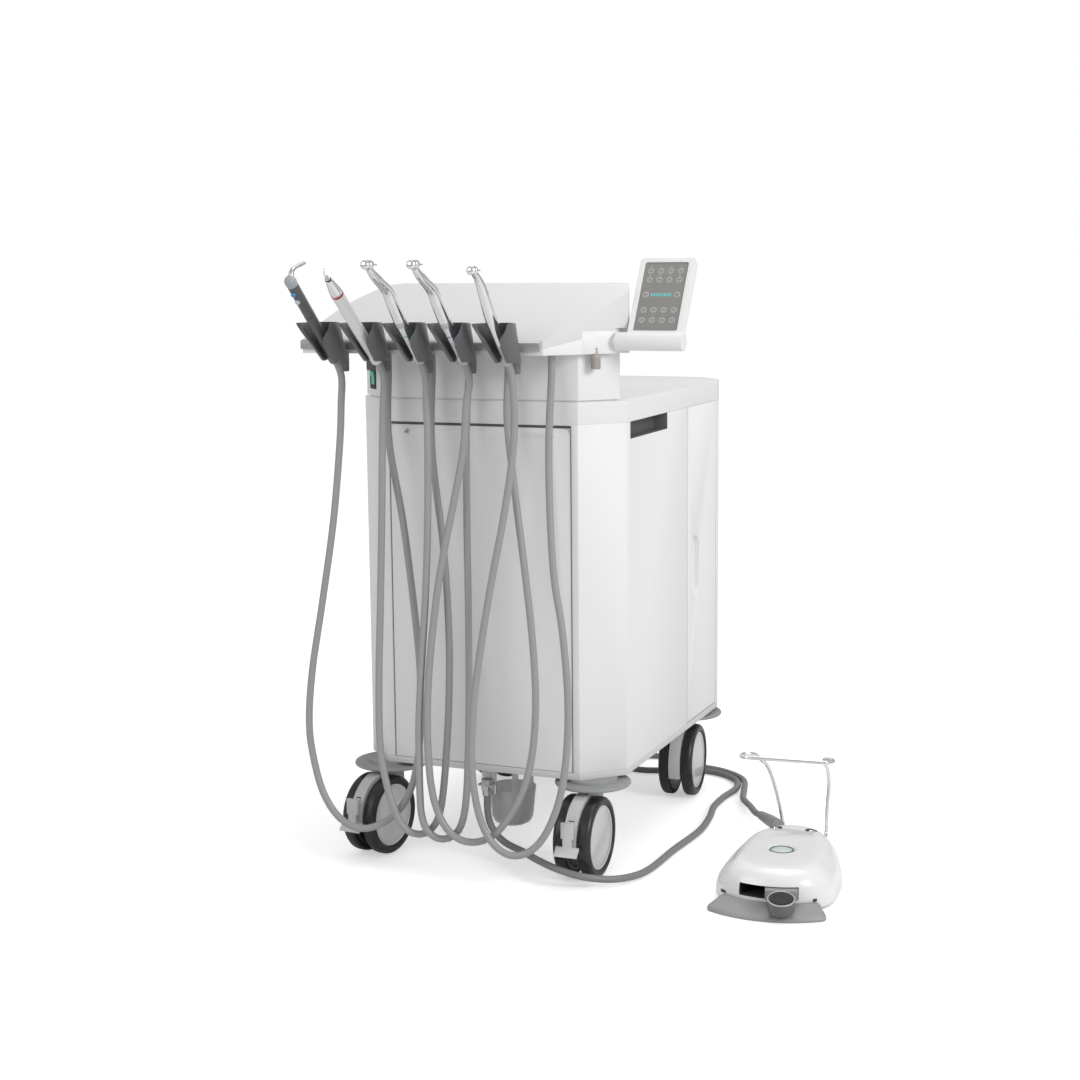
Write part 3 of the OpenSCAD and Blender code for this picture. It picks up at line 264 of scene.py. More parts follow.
def knob_tan():
    return finish("small_knob_moulding", (0.40, 0.365, 0.335), rough=0.4, change=0.06, grain=1200, wear=0.2)


def hose_skin():
    return finish("hose_silicone", settings().hose, rough=0.38, change=0.05, patch=12, grain=1500, depth=0.05,
                  sheen=0.08)


def foot_hose_skin():
    return finish("foot_hose_jacket", (0.21, 0.21, 0.212), rough=0.42, change=0.06, patch=12, grain=1500,
                  depth=0.08)


def disc_rubber():
    return finish("bumper_rubber", (0.30, 0.305, 0.305), rough=0.55, change=0.05, grain=1500, depth=0.15)


def tyre_rubber():
    return finish("tyre_rubber", (0.018, 0.018, 0.019), rough=0.34, change=0.2, patch=14, grain=1400,
                  depth=0.12, wear=0.05)


def silver_moulding():
    return finish("caster_moulding", (0.55, 0.555, 0.56), rough=0.3, change=0.05, grain=1400, depth=0.06,
                  coat=0.2, wear=0.15)


def cap_moulding():
    return finish("hub_cap_moulding", (0.60, 0.605, 0.61), rough=0.2, change=0.04, grain=1400, depth=0.04,
                  coat=0.5)


def black_moulding():
    return finish("black_moulding", (0.012, 0.012, 0.013), rough=0.35, change=0.15, grain=1500, depth=0.1)


def steel():
    return finish("brushed_steel", (0.62, 0.62, 0.62), rough=0.26, metal=1.0, change=0.05, grain=600,
                  depth=0.1, stretch=(1, 1, 8))


def bright_steel():
    return finish("polished_steel", (0.72, 0.72, 0.72), rough=0.12, metal=1.0, change=0.04, grain=900,
                  depth=0.03, spread=0.1)


def satin_steel():
    return finish("satin_steel", (0.60, 0.60, 0.605), rough=0.32, metal=1.0, change=0.05, grain=1600,
                  depth=0.08)


# ---------------------------------------------------------------- shapes in millimetres


def placed(name, data):
    """A new object in the scene"""
    obj = bpy.data.objects.new(name, data)
    bpy.context.scene.collection.objects.link(obj)
    return obj


class Form:
    """Points and faces of one piece, gathered with their materials before they become a mesh"""

    def __init__(self):
        self.points, self.faces, self.which, self.materials = [], [], [], []

    def add(self, shape, material, place=None):
        points, faces = shape
        first = len(self.points)
        self.points += [place @ Vector(p) if place else Vector(p) for p in points]
        if material not in self.materials:
            self.materials.append(material)
        self.faces += [[first + i for i in f] for f in faces]
        self.which += [self.materials.index(material)] * len(faces)
        return self


def loft(rings):
    """Skin over rings of equal count; a ring of one point is a pole"""
    points, starts = [], []
    for ring in rings:
        starts.append(len(points))
        points += ring
    faces = []
    for a in range(len(rings) - 1):
        p, q, n, m = starts[a], starts[a + 1], len(rings[a]), len(rings[a + 1])
        for i in range(max(n, m)):
            j = (i + 1) % max(n, m)
            if n == 1:
                faces.append([p, q + j, q + i])
            elif m == 1:
                faces.append([p + i, p + j, q])
            else:
                faces.append([p + i, p + j, q + j, q + i])
    if len(rings[0]) > 1:
        faces.append(list(range(starts[0] + len(rings[0]) - 1, starts[0] - 1, -1)))
    if len(rings[-1]) > 1:
        faces.append(list(range(starts[-1], starts[-1] + len(rings[-1]))))
    return points, faces


def turned(profile, n=48):
    """Solid of revolution about Z; profile is (radius, height) from below to above"""
    rings = []
    for r, z in profile:
        rings.append([(0, 0, z)] if r < 1e-6 else [
            (r * math.cos(2 * math.pi * k / n), r * math.sin(2 * math.pi * k / n), z) for k in range(n)])
    return loft(rings)


def smooth_path(points, step):
    """Curve through the points, cut every step"""
    p = [Vector(q) for q in points]
    out = []
    for i in range(len(p) - 1):
        a, b, c, d = p[max(i - 1, 0)], p[i], p[i + 1], p[min(i + 2, len(p) - 1)]
        n = max(1, round((c - b).length / step))
        for j in range(n):
            t = j / n
            square, cube = 2 * a - 5 * b + 4 * c - d, 3 * b - a - 3 * c + d
            out.append(0.5 * (2 * b + (c - a) * t + square * t * t + cube * t ** 3))
    return out + [p[-1]]


def tube(path, radius, n=16, side=(1, 0, 0)):
    """Closed tube along a path; radius is a number or one for each point"""
    path = [Vector(p) for p in path]
    radii = radius if isinstance(radius, (list, tuple)) else [radius] * len(path)
    s = Vector(side)
    rings = []
    for i, p in enumerate(path):
        t = (path[min(i + 1, len(path) - 1)] - path[max(i - 1, 0)]).normalized()
        s = (s - t * s.dot(t)).normalized()
        b = t.cross(s)
        turns = [2 * math.pi * k / n for k in range(n)]
        rings.append([p + radii[i] * (math.cos(a) * s + math.sin(a) * b) for a in turns])
    return loft(rings)


def round_rect(w, l, r, n=6, inset=0.0):
    """Rounded rectangle from 0,0 to w,l"""
    pts = []
    r2 = max(r - inset, 0.05)
    for cx, cy, start in ((w - r, r, -90), (w - r, l - r, 0), (r, l - r, 90), (r, r, 180)):
        for k in range(n + 1):
            a = math.radians(start + 90 * k / n)
            pts.append((cx + r2 * math.cos(a), cy + r2 * math.sin(a)))
    return pts


def cushion_edge(r, steps=4):
    """(inset, height) pairs of a quarter round"""
    return [(r * (1 - math.sin(math.pi / 2 * k / steps)),
             r * (1 - math.cos(math.pi / 2 * k / steps))) for k in range(steps + 1)]


def soft_slab(w, l, t, corner, edge, n=6):
    """Rounded plate from 0,0,0 to w,l,t with its edges rounded"""
    rings = []
    for inset, z in cushion_edge(edge):
        rings.append([(x, y, z) for x, y in round_rect(w, l, corner, n, inset)])
    for inset, z in reversed(cushion_edge(edge)):
        rings.append([(x, y, t - z) for x, y in round_rect(w, l, corner, n, inset)])
    return loft(rings)


def mesh_of(name, form, to_row, materials, merge=0.0):
    """A mesh of a form, its normals turned outward"""
    mesh = bpy.data.meshes.new(name)
    mesh.from_pydata([to_row @ p for p in form.points], [], form.faces)
    for m in materials:
        mesh.materials.append(m)
    mesh.polygons.foreach_set("material_index", form.which)
    bm = bmesh.new()
    bm.from_mesh(mesh)
    if merge:
        bmesh.ops.remove_doubles(bm, verts=bm.verts, dist=merge)
    bmesh.ops.recalc_face_normals(bm, faces=bm.faces)
    bm.to_mesh(mesh)
    bm.free()
    return mesh


def made(name, form, body, place=None, replaces=(), bevel=0.0, sharp=40, row=False):
    """Turns a form into a finished piece that rides on a CAD body"""
    to_row = Matrix.Identity(4) if row else TO_ROW @ (place or Matrix.Identity(4))
    obj = placed(name, mesh_of(name, form, to_row, form.materials, 1e-5))
    return finished(obj, body, replaces, bevel, 2, sharp)


def finished(obj, body, replaces, bevel, segments, sharp):
    """Rounds and shades a piece, then hands it to its body"""
    if bevel:
        mod = obj.modifiers.new("soft_edges", "BEVEL")
        mod.width, mod.segments = bevel, segments
        mod.limit_method, mod.angle_limit = "ANGLE", math.radians(30)
        mod.use_clamp_overlap = True
        bake(obj)
    smooth_faces(obj, sharp)
    if replaces:
        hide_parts(*replaces)
    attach(obj, body)
    return obj


def smooth_faces(obj, sharp):
    """Smooth faces with hard edges where they meet at more than sharp degrees"""
    obj.data.shade_smooth()
    obj.data.set_sharp_from_angle(angle=math.radians(sharp))


def bake(obj):
    """Swaps an object's mesh for the one its modifiers make"""
    graph = bpy.context.evaluated_depsgraph_get()
    graph.update()
    mesh = bpy.data.meshes.new_from_object(obj.evaluated_get(graph))
    old = obj.data
    obj.modifiers.clear()
    obj.data = mesh
    bpy.data.meshes.remove(old)
    mesh.name = obj.name


def softened(node, body, material, bevel, sharp=35, flatten=2.0, segments=2, inner=None):
    """A copy of a CAD node with merged triangles and rounded edges; inner is a finish and a test of place"""
    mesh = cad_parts[node].data.copy()
    obj = placed(node + "_finished", mesh)
    mesh.materials.clear()
    mesh.materials.append(material)
    bm = bmesh.new()
    bm.from_mesh(mesh)
    bmesh.ops.remove_doubles(bm, verts=bm.verts, dist=2e-6)
    bmesh.ops.dissolve_limit(bm, angle_limit=math.radians(flatten), verts=bm.verts, edges=bm.edges)
    if inner:
        mesh.materials.append(inner[0])
    for f in bm.faces:
        f.material_index = int(bool(inner) and inner[1](TO_UNIT @ f.calc_center_median()))
    bm.to_mesh(mesh)
    bm.free()
    return finished(obj, body, (node,), bevel, segments, sharp)


def ribs_round(name, count, size, reach, material):
    """Geometry Nodes: rib blocks set round a ring, made real and given their material"""
    tree = bpy.data.node_groups.new("ribs_round_a_knob", "GeometryNodeTree")
    tree.interface.new_socket(name="Geometry", in_out="OUTPUT", socket_type="NodeSocketGeometry")
    values = dict(zip(("Count", "Reach", "Width", "Depth", "Height"), (count, reach, *size)))
    keys = {}
    for key in values:
        kind = "NodeSocketInt" if key == "Count" else "NodeSocketFloat"
        keys[key] = tree.interface.new_socket(name=key, in_out="INPUT", socket_type=kind).identifier
    given = add_node(tree, "NodeGroupInput").outputs
    circle = add_node(tree, "GeometryNodeMeshCircle", {"Vertices": given["Count"], "Radius": given["Reach"]})
    box = add_node(tree, "ShaderNodeCombineXYZ", {"X": given["Width"], "Y": given["Depth"],
                                                  "Z": given["Height"]})
    cube = add_node(tree, "GeometryNodeMeshCube", {"Size": box.outputs[0]})
    where = add_node(tree, "GeometryNodeInputPosition")
    face = add_node(tree, "FunctionNodeAlignEulerToVector", {"Vector": where.outputs[0]}, axis="X")
    spread = add_node(tree, "GeometryNodeInstanceOnPoints", {
        "Points": circle.outputs["Mesh"], "Instance": cube.outputs["Mesh"], "Rotation": face.outputs[0]})
    real = add_node(tree, "GeometryNodeRealizeInstances", {0: spread.outputs[0]})
    coat = add_node(tree, "GeometryNodeSetMaterial", {"Material": material, "Geometry": real.outputs[0]})
    add_node(tree, "NodeGroupOutput", {0: coat.outputs[0]})
    obj = placed(name, bpy.data.meshes.new(name))
    mod = obj.modifiers.new("ribs", "NODES")
    mod.node_group = tree
    for key, value in values.items():
        mod[keys[key]] = value
    bake(obj)
    shape = ([tuple(v.co) for v in obj.data.vertices], [list(f.vertices) for f in obj.data.polygons])
    mesh = obj.data
    bpy.data.objects.remove(obj)
    bpy.data.meshes.remove(mesh)
    return shape


# ---------------------------------------------------------------- hose routes, in millimetres
# The same points as the CAD source, in the cabinet's own frame.
ROUTES = [
    [(-202, -328, 724), (-204, -332, 661), (-213, -342, 542), (-230, -352, 418), (-246, -362, 308),
     (-249, -371, 229), (-241, -376, 175), (-221, -382, 118), (-193, -381, 80), (-158, -378, 67),
     (-122, -373, 79), (-93, -368, 106), (-75, -361, 148), (-68, -352, 209), (-69, -345, 270),
     (-75, -336, 350), (-103, -320, 529), (-134, -304, 664)],
    [(-130, -328, 727), (-131, -332, 665), (-130, -342, 546), (-130, -352, 424), (-130, -363, 301),
     (-125, -374, 205), (-113, -381, 150), (-98, -385, 108), (-87, -384, 84), (-70, -378, 69),
     (-52, -371, 69), (-38, -365, 83), (-30, -361, 108), (-25, -355, 160), (-22, -344, 260), (-24, -334, 370),
     (-37, -320, 501), (-61, -305, 651)],
    [(-58, -328, 727), (-55, -332, 665), (-53, -341, 549), (-54, -350, 444), (-58, -360, 337),
     (-60, -370, 245), (-57, -378, 170), (-55, -381, 128), (-52, -383, 101), (-44, -383, 79), (-29, -379, 66),
     (-12, -373, 66), (2, -367, 78), (9, -363, 99), (12, -359, 127), (13, -354, 172), (13, -346, 261),
     (8, -332, 398), (1, -317, 548), (-4, -303, 683)],
    [(8, -328, 727), (4, -333, 656), (-9, -340, 581), (-24, -346, 505), (-36, -352, 429), (-45, -362, 323),
     (-45, -372, 232), (-36, -381, 148), (-20, -384, 100), (2, -382, 73), (30, -376, 65), (60, -370, 77),
     (85, -365, 107), (107, -358, 153), (119, -351, 211), (121, -343, 285), (113, -334, 375), (97, -323, 479),
     (75, -310, 611), (62, -301, 700)],
    [(86, -329, 709), (83, -333, 643), (71, -341, 555), (52, -350, 449), (35, -360, 333), (29, -369, 253),
     (31, -378, 178), (42, -383, 118), (60, -385, 78), (84, -382, 56), (108, -377, 54), (132, -373, 69),
     (152, -368, 101), (167, -360, 150), (174, -351, 220), (172, -342, 300), (160, -332, 393),
     (144, -323, 471), (134, -312, 569), (129, -301, 670)],
]
OUTLETS = [-138, -64, -3, 61, 131]
FLOOR_ROUTE = [
    (2, -258, 104), (2, -258, 86), (3.5, -258, 69), (9, -259, 54), (19, -261, 42), (33, -266, 34),
    (51, -276, 31), (79, -299, 33), (118, -335, 35), (155, -348, 29), (195, -343, 20), (230, -317, 12),
    (254, -277, 8), (264, -225, 6), (268, -130, 6), (276, -20, 6), (269, 60, 6), (258, 120, 6), (257, 180, 6),
    (262, 238, 6), (250, 286, 6), (213, 322, 6), (168, 332, 6), (112, 312, 6), (70, 299, 6), (39, 305, 6),
    (19, 324, 6), (12, 350, 6), (19, 376, 6), (39, 395, 6), (68, 402, 6), (102, 393, 6), (150, 361, 6),
    (210, 341, 6), (257, 301, 6), (278, 238, 7), (294, 176, 9), (324, 115, 15), (348, 61, 22), (366, 32, 27)]
HOSE_R = 5.5


TAIL, BEND_R = 14, 40  # straight part under a holder, and the radius of the bend after it
OUTLET_Y, OUTLET_DROP = LIP_Y + 37, 30


def hose_line(i):
    """Centre line of hose i, from the console's outlet down and up to the handpiece"""
    lean = math.radians(LEANS[i])
    tail, back = Vector((HOLDER_X[i], TOOL_Y, TOOL_Z)), Vector((0, math.sin(lean), -math.cos(lean)))
    bend = [Vector((0, math.cos(a) - math.cos(lean), math.sin(a) - math.sin(lean))) for a in (lean / 2, 0)]
    start = tail + TAIL * back
    points = [tail + 4 * back, start, *(start + BEND_R * b for b in bend), *ROUTES[i],
              (OUTLETS[i], OUTLET_Y, CONSOLE_Z - OUTLET_DROP), (OUTLETS[i], OUTLET_Y, CONSOLE_Z)]
    return smooth_path(points, 9)[::-1]


def hang_hose(name, node, line, skin):
    row = [TO_ROW @ p for p in line]
    form = Form().add(tube(row, HOSE_R / 1000, 20), skin)
    piece = made(name, form, "cabinet", replaces=(node,), row=True, sharp=60)
    return piece


FOCAL, PICTURE_W, SENSOR_W = 1895.9, 1080, 36  # pixels, pixels, millimetres
VIEW_FROM = Vector((1175.0, -2897.5, 943.6))
VIEW_TURNS = (22.24, 8.572, -0.531)  # to the side, downward and about the line of sight


class DENTAL_OT_camera(bpy.types.Operator):
    """Sets the camera where the photograph was taken from"""

    bl_idname = "dental.camera"
    bl_label = "Camera"

    def execute(self, context):
        data = bpy.data.cameras.new("view_camera")
        data.sensor_width, data.lens = SENSOR_W, SENSOR_W * FOCAL / PICTURE_W
        data.clip_end = 30
        cam = placed("view_camera", data)
        side, tilt, roll = (math.radians(a) for a in VIEW_TURNS)
        ahead = Vector((-math.sin(side) * math.cos(tilt), math.cos(side) * math.cos(tilt), -math.sin(tilt)))
        right = Vector((math.cos(side), math.sin(side), 0))
        up = right.cross(ahead)
        r = math.cos(roll) * right + math.sin(roll) * up
        u = -math.sin(roll) * right + math.cos(roll) * up
        place = Matrix((r, u, -ahead)).transposed().to_4x4()
        place.translation = TO_ROW @ VIEW_FROM
        cam.matrix_world = place
        context.scene.camera = cam
        return {"FINISHED"}


class DENTAL_OT_hoses(bpy.types.Operator):
    """Hangs the instrument hoses and lays the foot control's hose"""

    bl_idname = "dental.hoses"
    bl_label = "Hoses"

    def execute(self, context):
        for i in range(5):
            hang_hose(f"instrument_hose_{i + 1}", f"hose_{i + 1}", hose_line(i), hose_skin())
        hang_hose("foot_control_hose", "foot_hose", smooth_path(FLOOR_ROUTE, 9), foot_hose_skin())
        return {"FINISHED"}


class DENTAL_OT_cabinet(bpy.types.Operator):
    """Finishes the shell, its panels and the worktop"""

    bl_idname = "dental.cabinet"
    bl_label = "Cabinet"

    def execute(self, context):
        edge = settings().edge
        # painted shade: this dark finish stands in for the shade inside the grip pockets and in the gap round
        # the access panel
        shade = finish("painted_shade_dark", (0.10, 0.10, 0.10), 0.5)
        # painted shade: faces inside the grip pockets take the dark finish
        dark = (shade, lambda p: abs(p.x) < 218 and GRIP[0] < p.y < GRIP[1] and GRIP[2] < p.z < GRIP[3])
        for node in ("side_panel_left", "side_panel_right"):
            softened(node, "cabinet", paint(), edge * 0.6, inner=dark)
        for node in ("front_frame", "rear_cover", "access_panel"):
            softened(node, "cabinet", paint(), edge * 0.6)
        self.gap_shade_and_screws(shade)
        softened("service_door", "door", paint(), edge)
        softened("base_plate", "cabinet", base_paint(), edge)
        softened("top_slab", "cabinet", slab_white(), 0.0032, segments=4)
        softened("column", "cabinet", console_white(), 0.002, segments=3)
        return {"FINISHED"}

    def gap_shade_and_screws(self, dark):
        """Dark strip of painted shade in the gap round the access panel, and its two slotted screws"""
        half, low, high = ACCESS_W / 2, SLAB_Z - 6.2, SLAB_Z - 2.2
        out, front, back = half + 1.9, FRONT_Y + 3.4, FRONT_Y + 3.95
        form = Form()
        # painted shade: a dark strip fills the top and side gaps round the access panel
        form.add(block((-out, front, low), (out, back, high)), dark)
        for x in (-out, out - 1.8):
            form.add(block((x, front, SHELL_Z + 1), (x + 1.8, back, low)), dark)
        made("painted_gap_shade", form, "cabinet")
        form = Form()
        for side in (-1, 1):
            place = move(side * (half - 30), FRONT_Y + 1.6, SLAB_Z - 17.3) @ turn("X", 90)
            form.add(turned([(0, 0), (4.55, 0), (4.6, 1.4), (4.1, 1.72), (4.05, 1.75), (2.6, 3.25),
                             (1.6, 3.25), (1.5, 2.2), (0, 2.1)], 32),
                     steel(), place)
            form.add(turned([(0, 2.0), (1.5, 2.0), (1.5, 2.3), (0, 2.35)], 6), black_moulding(), place)
        made("panel_screws", form, "cabinet")


class DENTAL_OT_machinery(bpy.types.Operator):
    """Finishes what stands inside the cabinet and hangs under it"""

    bl_idname = "dental.machinery"
    bl_label = "Machinery"

    def execute(self, context):
        grey = finish("compressor_enamel", (0.16, 0.19, 0.23), 0.42, change=0.1, wear=0.5)
        softened("compressor", "cabinet", grey, 0.0006)
        clear = finish("bottle_plastic", (0.75, 0.85, 0.9), 0.18, clear=0.75, change=0.02)
        softened("water_bottle", "cabinet", clear, 0)
        softened("valve_block", "cabinet", satin_steel(), 0.0008)
        cloudy = finish("bowl_plastic", (0.60, 0.61, 0.615), 0.28, alpha=0.6, change=0.03)
        softened("drain_bowl", "cabinet", cloudy, 0.0004)
        softened("hose_gland", "cabinet", steel(), 0.0005)
        softened("bumper_discs", "cabinet", disc_rubber(), 0.0006)
        return {"FINISHED"}


# ---------------------------------------------------------------- casters

TYRE = [(49.5, 0.8), (50, 0.4), (57.5, 0), (60.6, 0.9), (62.1, 2.6), (62.5, 5), (62.5, 13), (61.9, 15.8),
        (60.1, 18.2), (57.4, 19.6), (54.6, 20.0), (51.6, 19.6), (50.3, 18.4), (49.6, 16.6), (49.5, 10)]
CAP = [(0, 1.0), (49.4, 1.0), (49.4, 16.0), (48.9, 17.3), (47.6, 17.6), (46.4, 17.1), (45.9, 16.6),
       (44.9, 17.0), (41.5, 18.1), (33, 19.2), (20, 19.8), (0, 20.0)]


def wheel_form(form):
    for side in (1, -1):
        place = move(0, 38, 62.5) @ turn("Y", 90) @ Matrix.Diagonal((1, 1, side, 1)) @ move(0, 0, 10)
        form.add(turned([(p[0], p[1]) for p in TYRE] + [TYRE[0]], 120), tyre_rubber(), place)
        form.add(turned(CAP, 96), cap_moulding(), place)
    form.add(turned([(4, -11), (4, 11), (0, 11)], 24), satin_steel(), move(0, 38, 62.5) @ turn("Y", 90))
    return form


class DENTAL_OT_casters(bpy.types.Operator):
    """Builds the twin-wheel casters with their housings and brake pedals"""

    bl_idname = "dental.casters"
    bl_label = "Casters"

    def execute(self, context):
        for key in CASTERS:
            place = caster_place(key)
            made(f"wheel_pair_{key}", wheel_form(Form()), "rolling_" + key, place,
                 replaces=("wheels_" + key,), sharp=38)
            softened("caster_" + key, "swivel_" + key, silver_moulding(), 0.0012, segments=3)
        for side, key in (("left", "front_left"), ("right", "front_right")):
            softened("brake_" + side, "brake_pedal_" + side, silver_moulding(), 0.0014, segments=3)
        return {"FINISHED"}


# ---------------------------------------------------------------- console


class DENTAL_OT_console(bpy.types.Operator):
    """Finishes the instrument console with its rail, holders and power switch"""

    bl_idname = "dental.console"
    bl_label = "Console"

    def execute(self, context):
        softened("console_base", "cabinet", console_white(), 0.0014, segments=3)
        softened("console_cover", "cabinet", console_grey(), 0.0050, segments=5)
        softened("hinge_arm", "cabinet", console_white(), 0.0010, segments=2)
        softened("holder_rail", "cabinet", rail_grey(), 0.0010, segments=2)
        softened("instrument_holders", "cabinet", holder_grey(), 0.0011, segments=3, flatten=0.5, sharp=45)
        softened("rocker_frame", "cabinet", black_moulding(), 0.0008, segments=2)
        green = finish("rocker_lamp_green", (0.03, 0.33, 0.24), 0.25, glow=0.35, change=0.15, patch=60)
        softened("power_rocker", "rocker", green, 0.0008, segments=2)
        return {"FINISHED"}


KNOB_ROW_Y, KNOB_SHIFT, KNOB_GAP = LIP_Y + 21, -3.4, 0.5
RIBS, RIB_REACH = 28, 6.85


class DENTAL_OT_knobs(bpy.types.Operator):
    """Builds the ribbed flow knobs under the console"""

    bl_idname = "dental.knobs"
    bl_label = "Knobs"

    def execute(self, context):
        places = {f"knob_{i + 1}": (HOLDER_X[i] + KNOB_SHIFT, KNOB_ROW_Y, 28) for i in range(5)}
        places["knob_left"] = (HOLDER_X[0] + 22, FRONT_Y + 0.5, 28)
        places["knob_right"] = (NOSE_X + 63, LIP_Y + 67, 22)
        for node, (x, y, h) in places.items():
            skin = knob_tan() if node == "knob_right" else knob_grey()
            ribs = ribs_round("ribs", RIBS, (0.9, 0.75, h - 7), RIB_REACH, skin)
            form = Form()
            form.add(turned([(0, 0), (5.6, 0), (6.6, 0.6), (6.8, 1.6), (6.8, h - 5.5), (7.4, h - 4.6),
                             (7.4, h - 1.2), (6.6, h - 0.3), (3, h), (3, h + 7.8), (0, h + 7.8)], 56), skin)
            form.add(ribs, skin, move(0, 0, (h - 7) / 2 + 1.2))
            made(node + "_ribbed", form, node, move(x, y, CONSOLE_Z - h - KNOB_GAP), replaces=(node,))
        return {"FINISHED"}


# ---------------------------------------------------------------- control panel

KEY_ROWS, KEY_X, KEY_PITCH = (101, 86, 35, 18), 10.5, 15.5


class DENTAL_OT_panel(bpy.types.Operator):
    """Builds the tilting control panel with its sealed keypad"""

    bl_idname = "dental.panel"
    bl_label = "Control panel"

    def execute(self, context):
        softened("control_panel", "panel", console_white(), 0.0022, segments=4)
        film = finish("keypad_film", (0.245, 0.24, 0.23), 0.42, change=0.05, grain=2200, depth=0.15)
        dome = finish("keypad_domes", (0.36, 0.355, 0.345), 0.34, change=0.05, grain=2200, depth=0.1)
        rim = finish("keypad_edge", (0.10, 0.095, 0.09), 0.5)
        ink = finish("keypad_ink", (0.06, 0.06, 0.06), 0.5)
        pale = finish("keypad_pale_ink", (0.52, 0.51, 0.49), 0.5)
        lamp = finish("keypad_lamp", settings().lamp, 0.25, glow=0.5)
        form = Form()
        # keypad frame: x to the right, y up the panel, z out of its face
        face = move(8, -6 + 1.5 + 0.8, 15) @ turn("X", 90)
        form.add(soft_slab(67.6, 115.6, 1.1, 3, 0.4), film, face @ move(0.2, 0.2, 0))
        form.add(soft_slab(67.6, 115.6, 0.5, 3, 0.2), rim, face @ move(0.2, 0.2, -0.05))
        dome_shape = turned([(0, 0), (5.2, 0), (5.2, 0.25), (4.6, 0.5), (3.2, 0.62), (0, 0.66)], 32)
        for y in KEY_ROWS:
            for i in range(4):
                spot = face @ move(KEY_X + i * KEY_PITCH, y, 1.05)
                form.add(dome_shape, dome, spot)
                for k in range(3):
                    mark = move(-1.9 + 1.9 * k, -1.0 + 1.1 * ((k + i) % 2), 0.6)
                    form.add(soft_slab(1.2, 1.8 if k == 1 else 1.1, 0.16, 0.4, 0.05, 2), ink, spot @ mark)
            if y > 80:
                for i in range(4):
                    form.add(turned([(0, 0), (1.0, 0), (0.9, 0.25), (0, 0.3)], 16), lamp if i else pale,
                             face @ move(KEY_X + i * KEY_PITCH, y + 7.6, 1.05))
        for x, plus in ((9.5, False), (58, True)):
            spot = face @ move(x, 61, 1.05)
            form.add(dome_shape, dome, spot)
            form.add(soft_slab(4.4, 0.8, 0.16, 0.3, 0.05, 2), ink, spot @ move(-2.2, -0.4, 0.6))
            if plus:
                form.add(soft_slab(0.8, 4.4, 0.16, 0.3, 0.05, 2), ink, spot @ move(-0.4, -2.2, 0.6))
        for i in range(8):
            form.add(soft_slab(2.3, 5.4, 0.3, 0.4, 0.1, 2), lamp, face @ move(17.5 + i * 4.1, 58.3, 1.0))
        made("keypad_embossed", form, "panel", PANEL_PLACE, replaces=("keypad",))
        return {"FINISHED"}


# ---------------------------------------------------------------- handpieces


def add_banded(form, stations, bands, n=40, step=1.5):
    """Bent body of revolution: stations (back, along, radius), bands (from, to, material) along its length"""
    path = smooth_path([(0, b, a) for b, a, r in stations], step)
    knots = [0.0]
    for (b0, a0, r0), (b1, a1, r1) in zip(stations, stations[1:]):
        knots.append(knots[-1] + math.hypot(b1 - b0, a1 - a0))
    run = [0.0]
    for p, q in zip(path, path[1:]):
        run.append(run[-1] + (q - p).length)
    scale = knots[-1] / run[-1]

    def radius(s):
        for k in range(len(knots) - 1):
            if s <= knots[k + 1] + 1e-9:
                t = (s - knots[k]) / max(knots[k + 1] - knots[k], 1e-9)
                return stations[k][2] + (stations[k + 1][2] - stations[k][2]) * t
        return stations[-1][2]

    radii = [radius(s * scale) for s in run]
    for low, high, material in bands:
        keep = [i for i, s in enumerate(run) if low - 1e-6 <= s * scale <= high + step]
        if len(keep) > 1:
            form.add(tube([path[i] for i in keep], [radii[i] for i in keep], n), material)


def ring(z, r, h, n=40, round_=0.3):
    return turned([(r - 1.2, z), (r - round_, z), (r, z + round_), (r, z + h - round_), (r - round_, z + h),
                   (r - 1.2, z + h)], n)


def tail_collar(top):
    return turned([(0, -4), (7.4, -4), (8.8, -2.8), (9, 0), (9, 9), (top, 12)], 40)


def add_head(form, place, r, front, back):
    """Round head of a drill with its bur, placed by the axis of the bur"""
    form.add(turned([(0, -front - 3), (r - 3, -front - 3), (r - 1.6, -front - 2.2), (r, -front), (r, -2),
                     (r - 0.35, -1.6), (r - 0.35, -0.9), (r, -0.5), (r, back - 1), (r - 0.5, back + 0.4),
                     (3.2, back + 2.6), (2.4, back + 3), (0, back + 3)], 48), bright_steel(), place)
    form.add(turned([(0, back + 2.5), (0.9, back + 2.5), (0.9, back + 13), (0.65, back + 14),
                     (1.1, back + 17), (0.6, back + 19.8), (0, back + 20)], 16), satin_steel(), place)


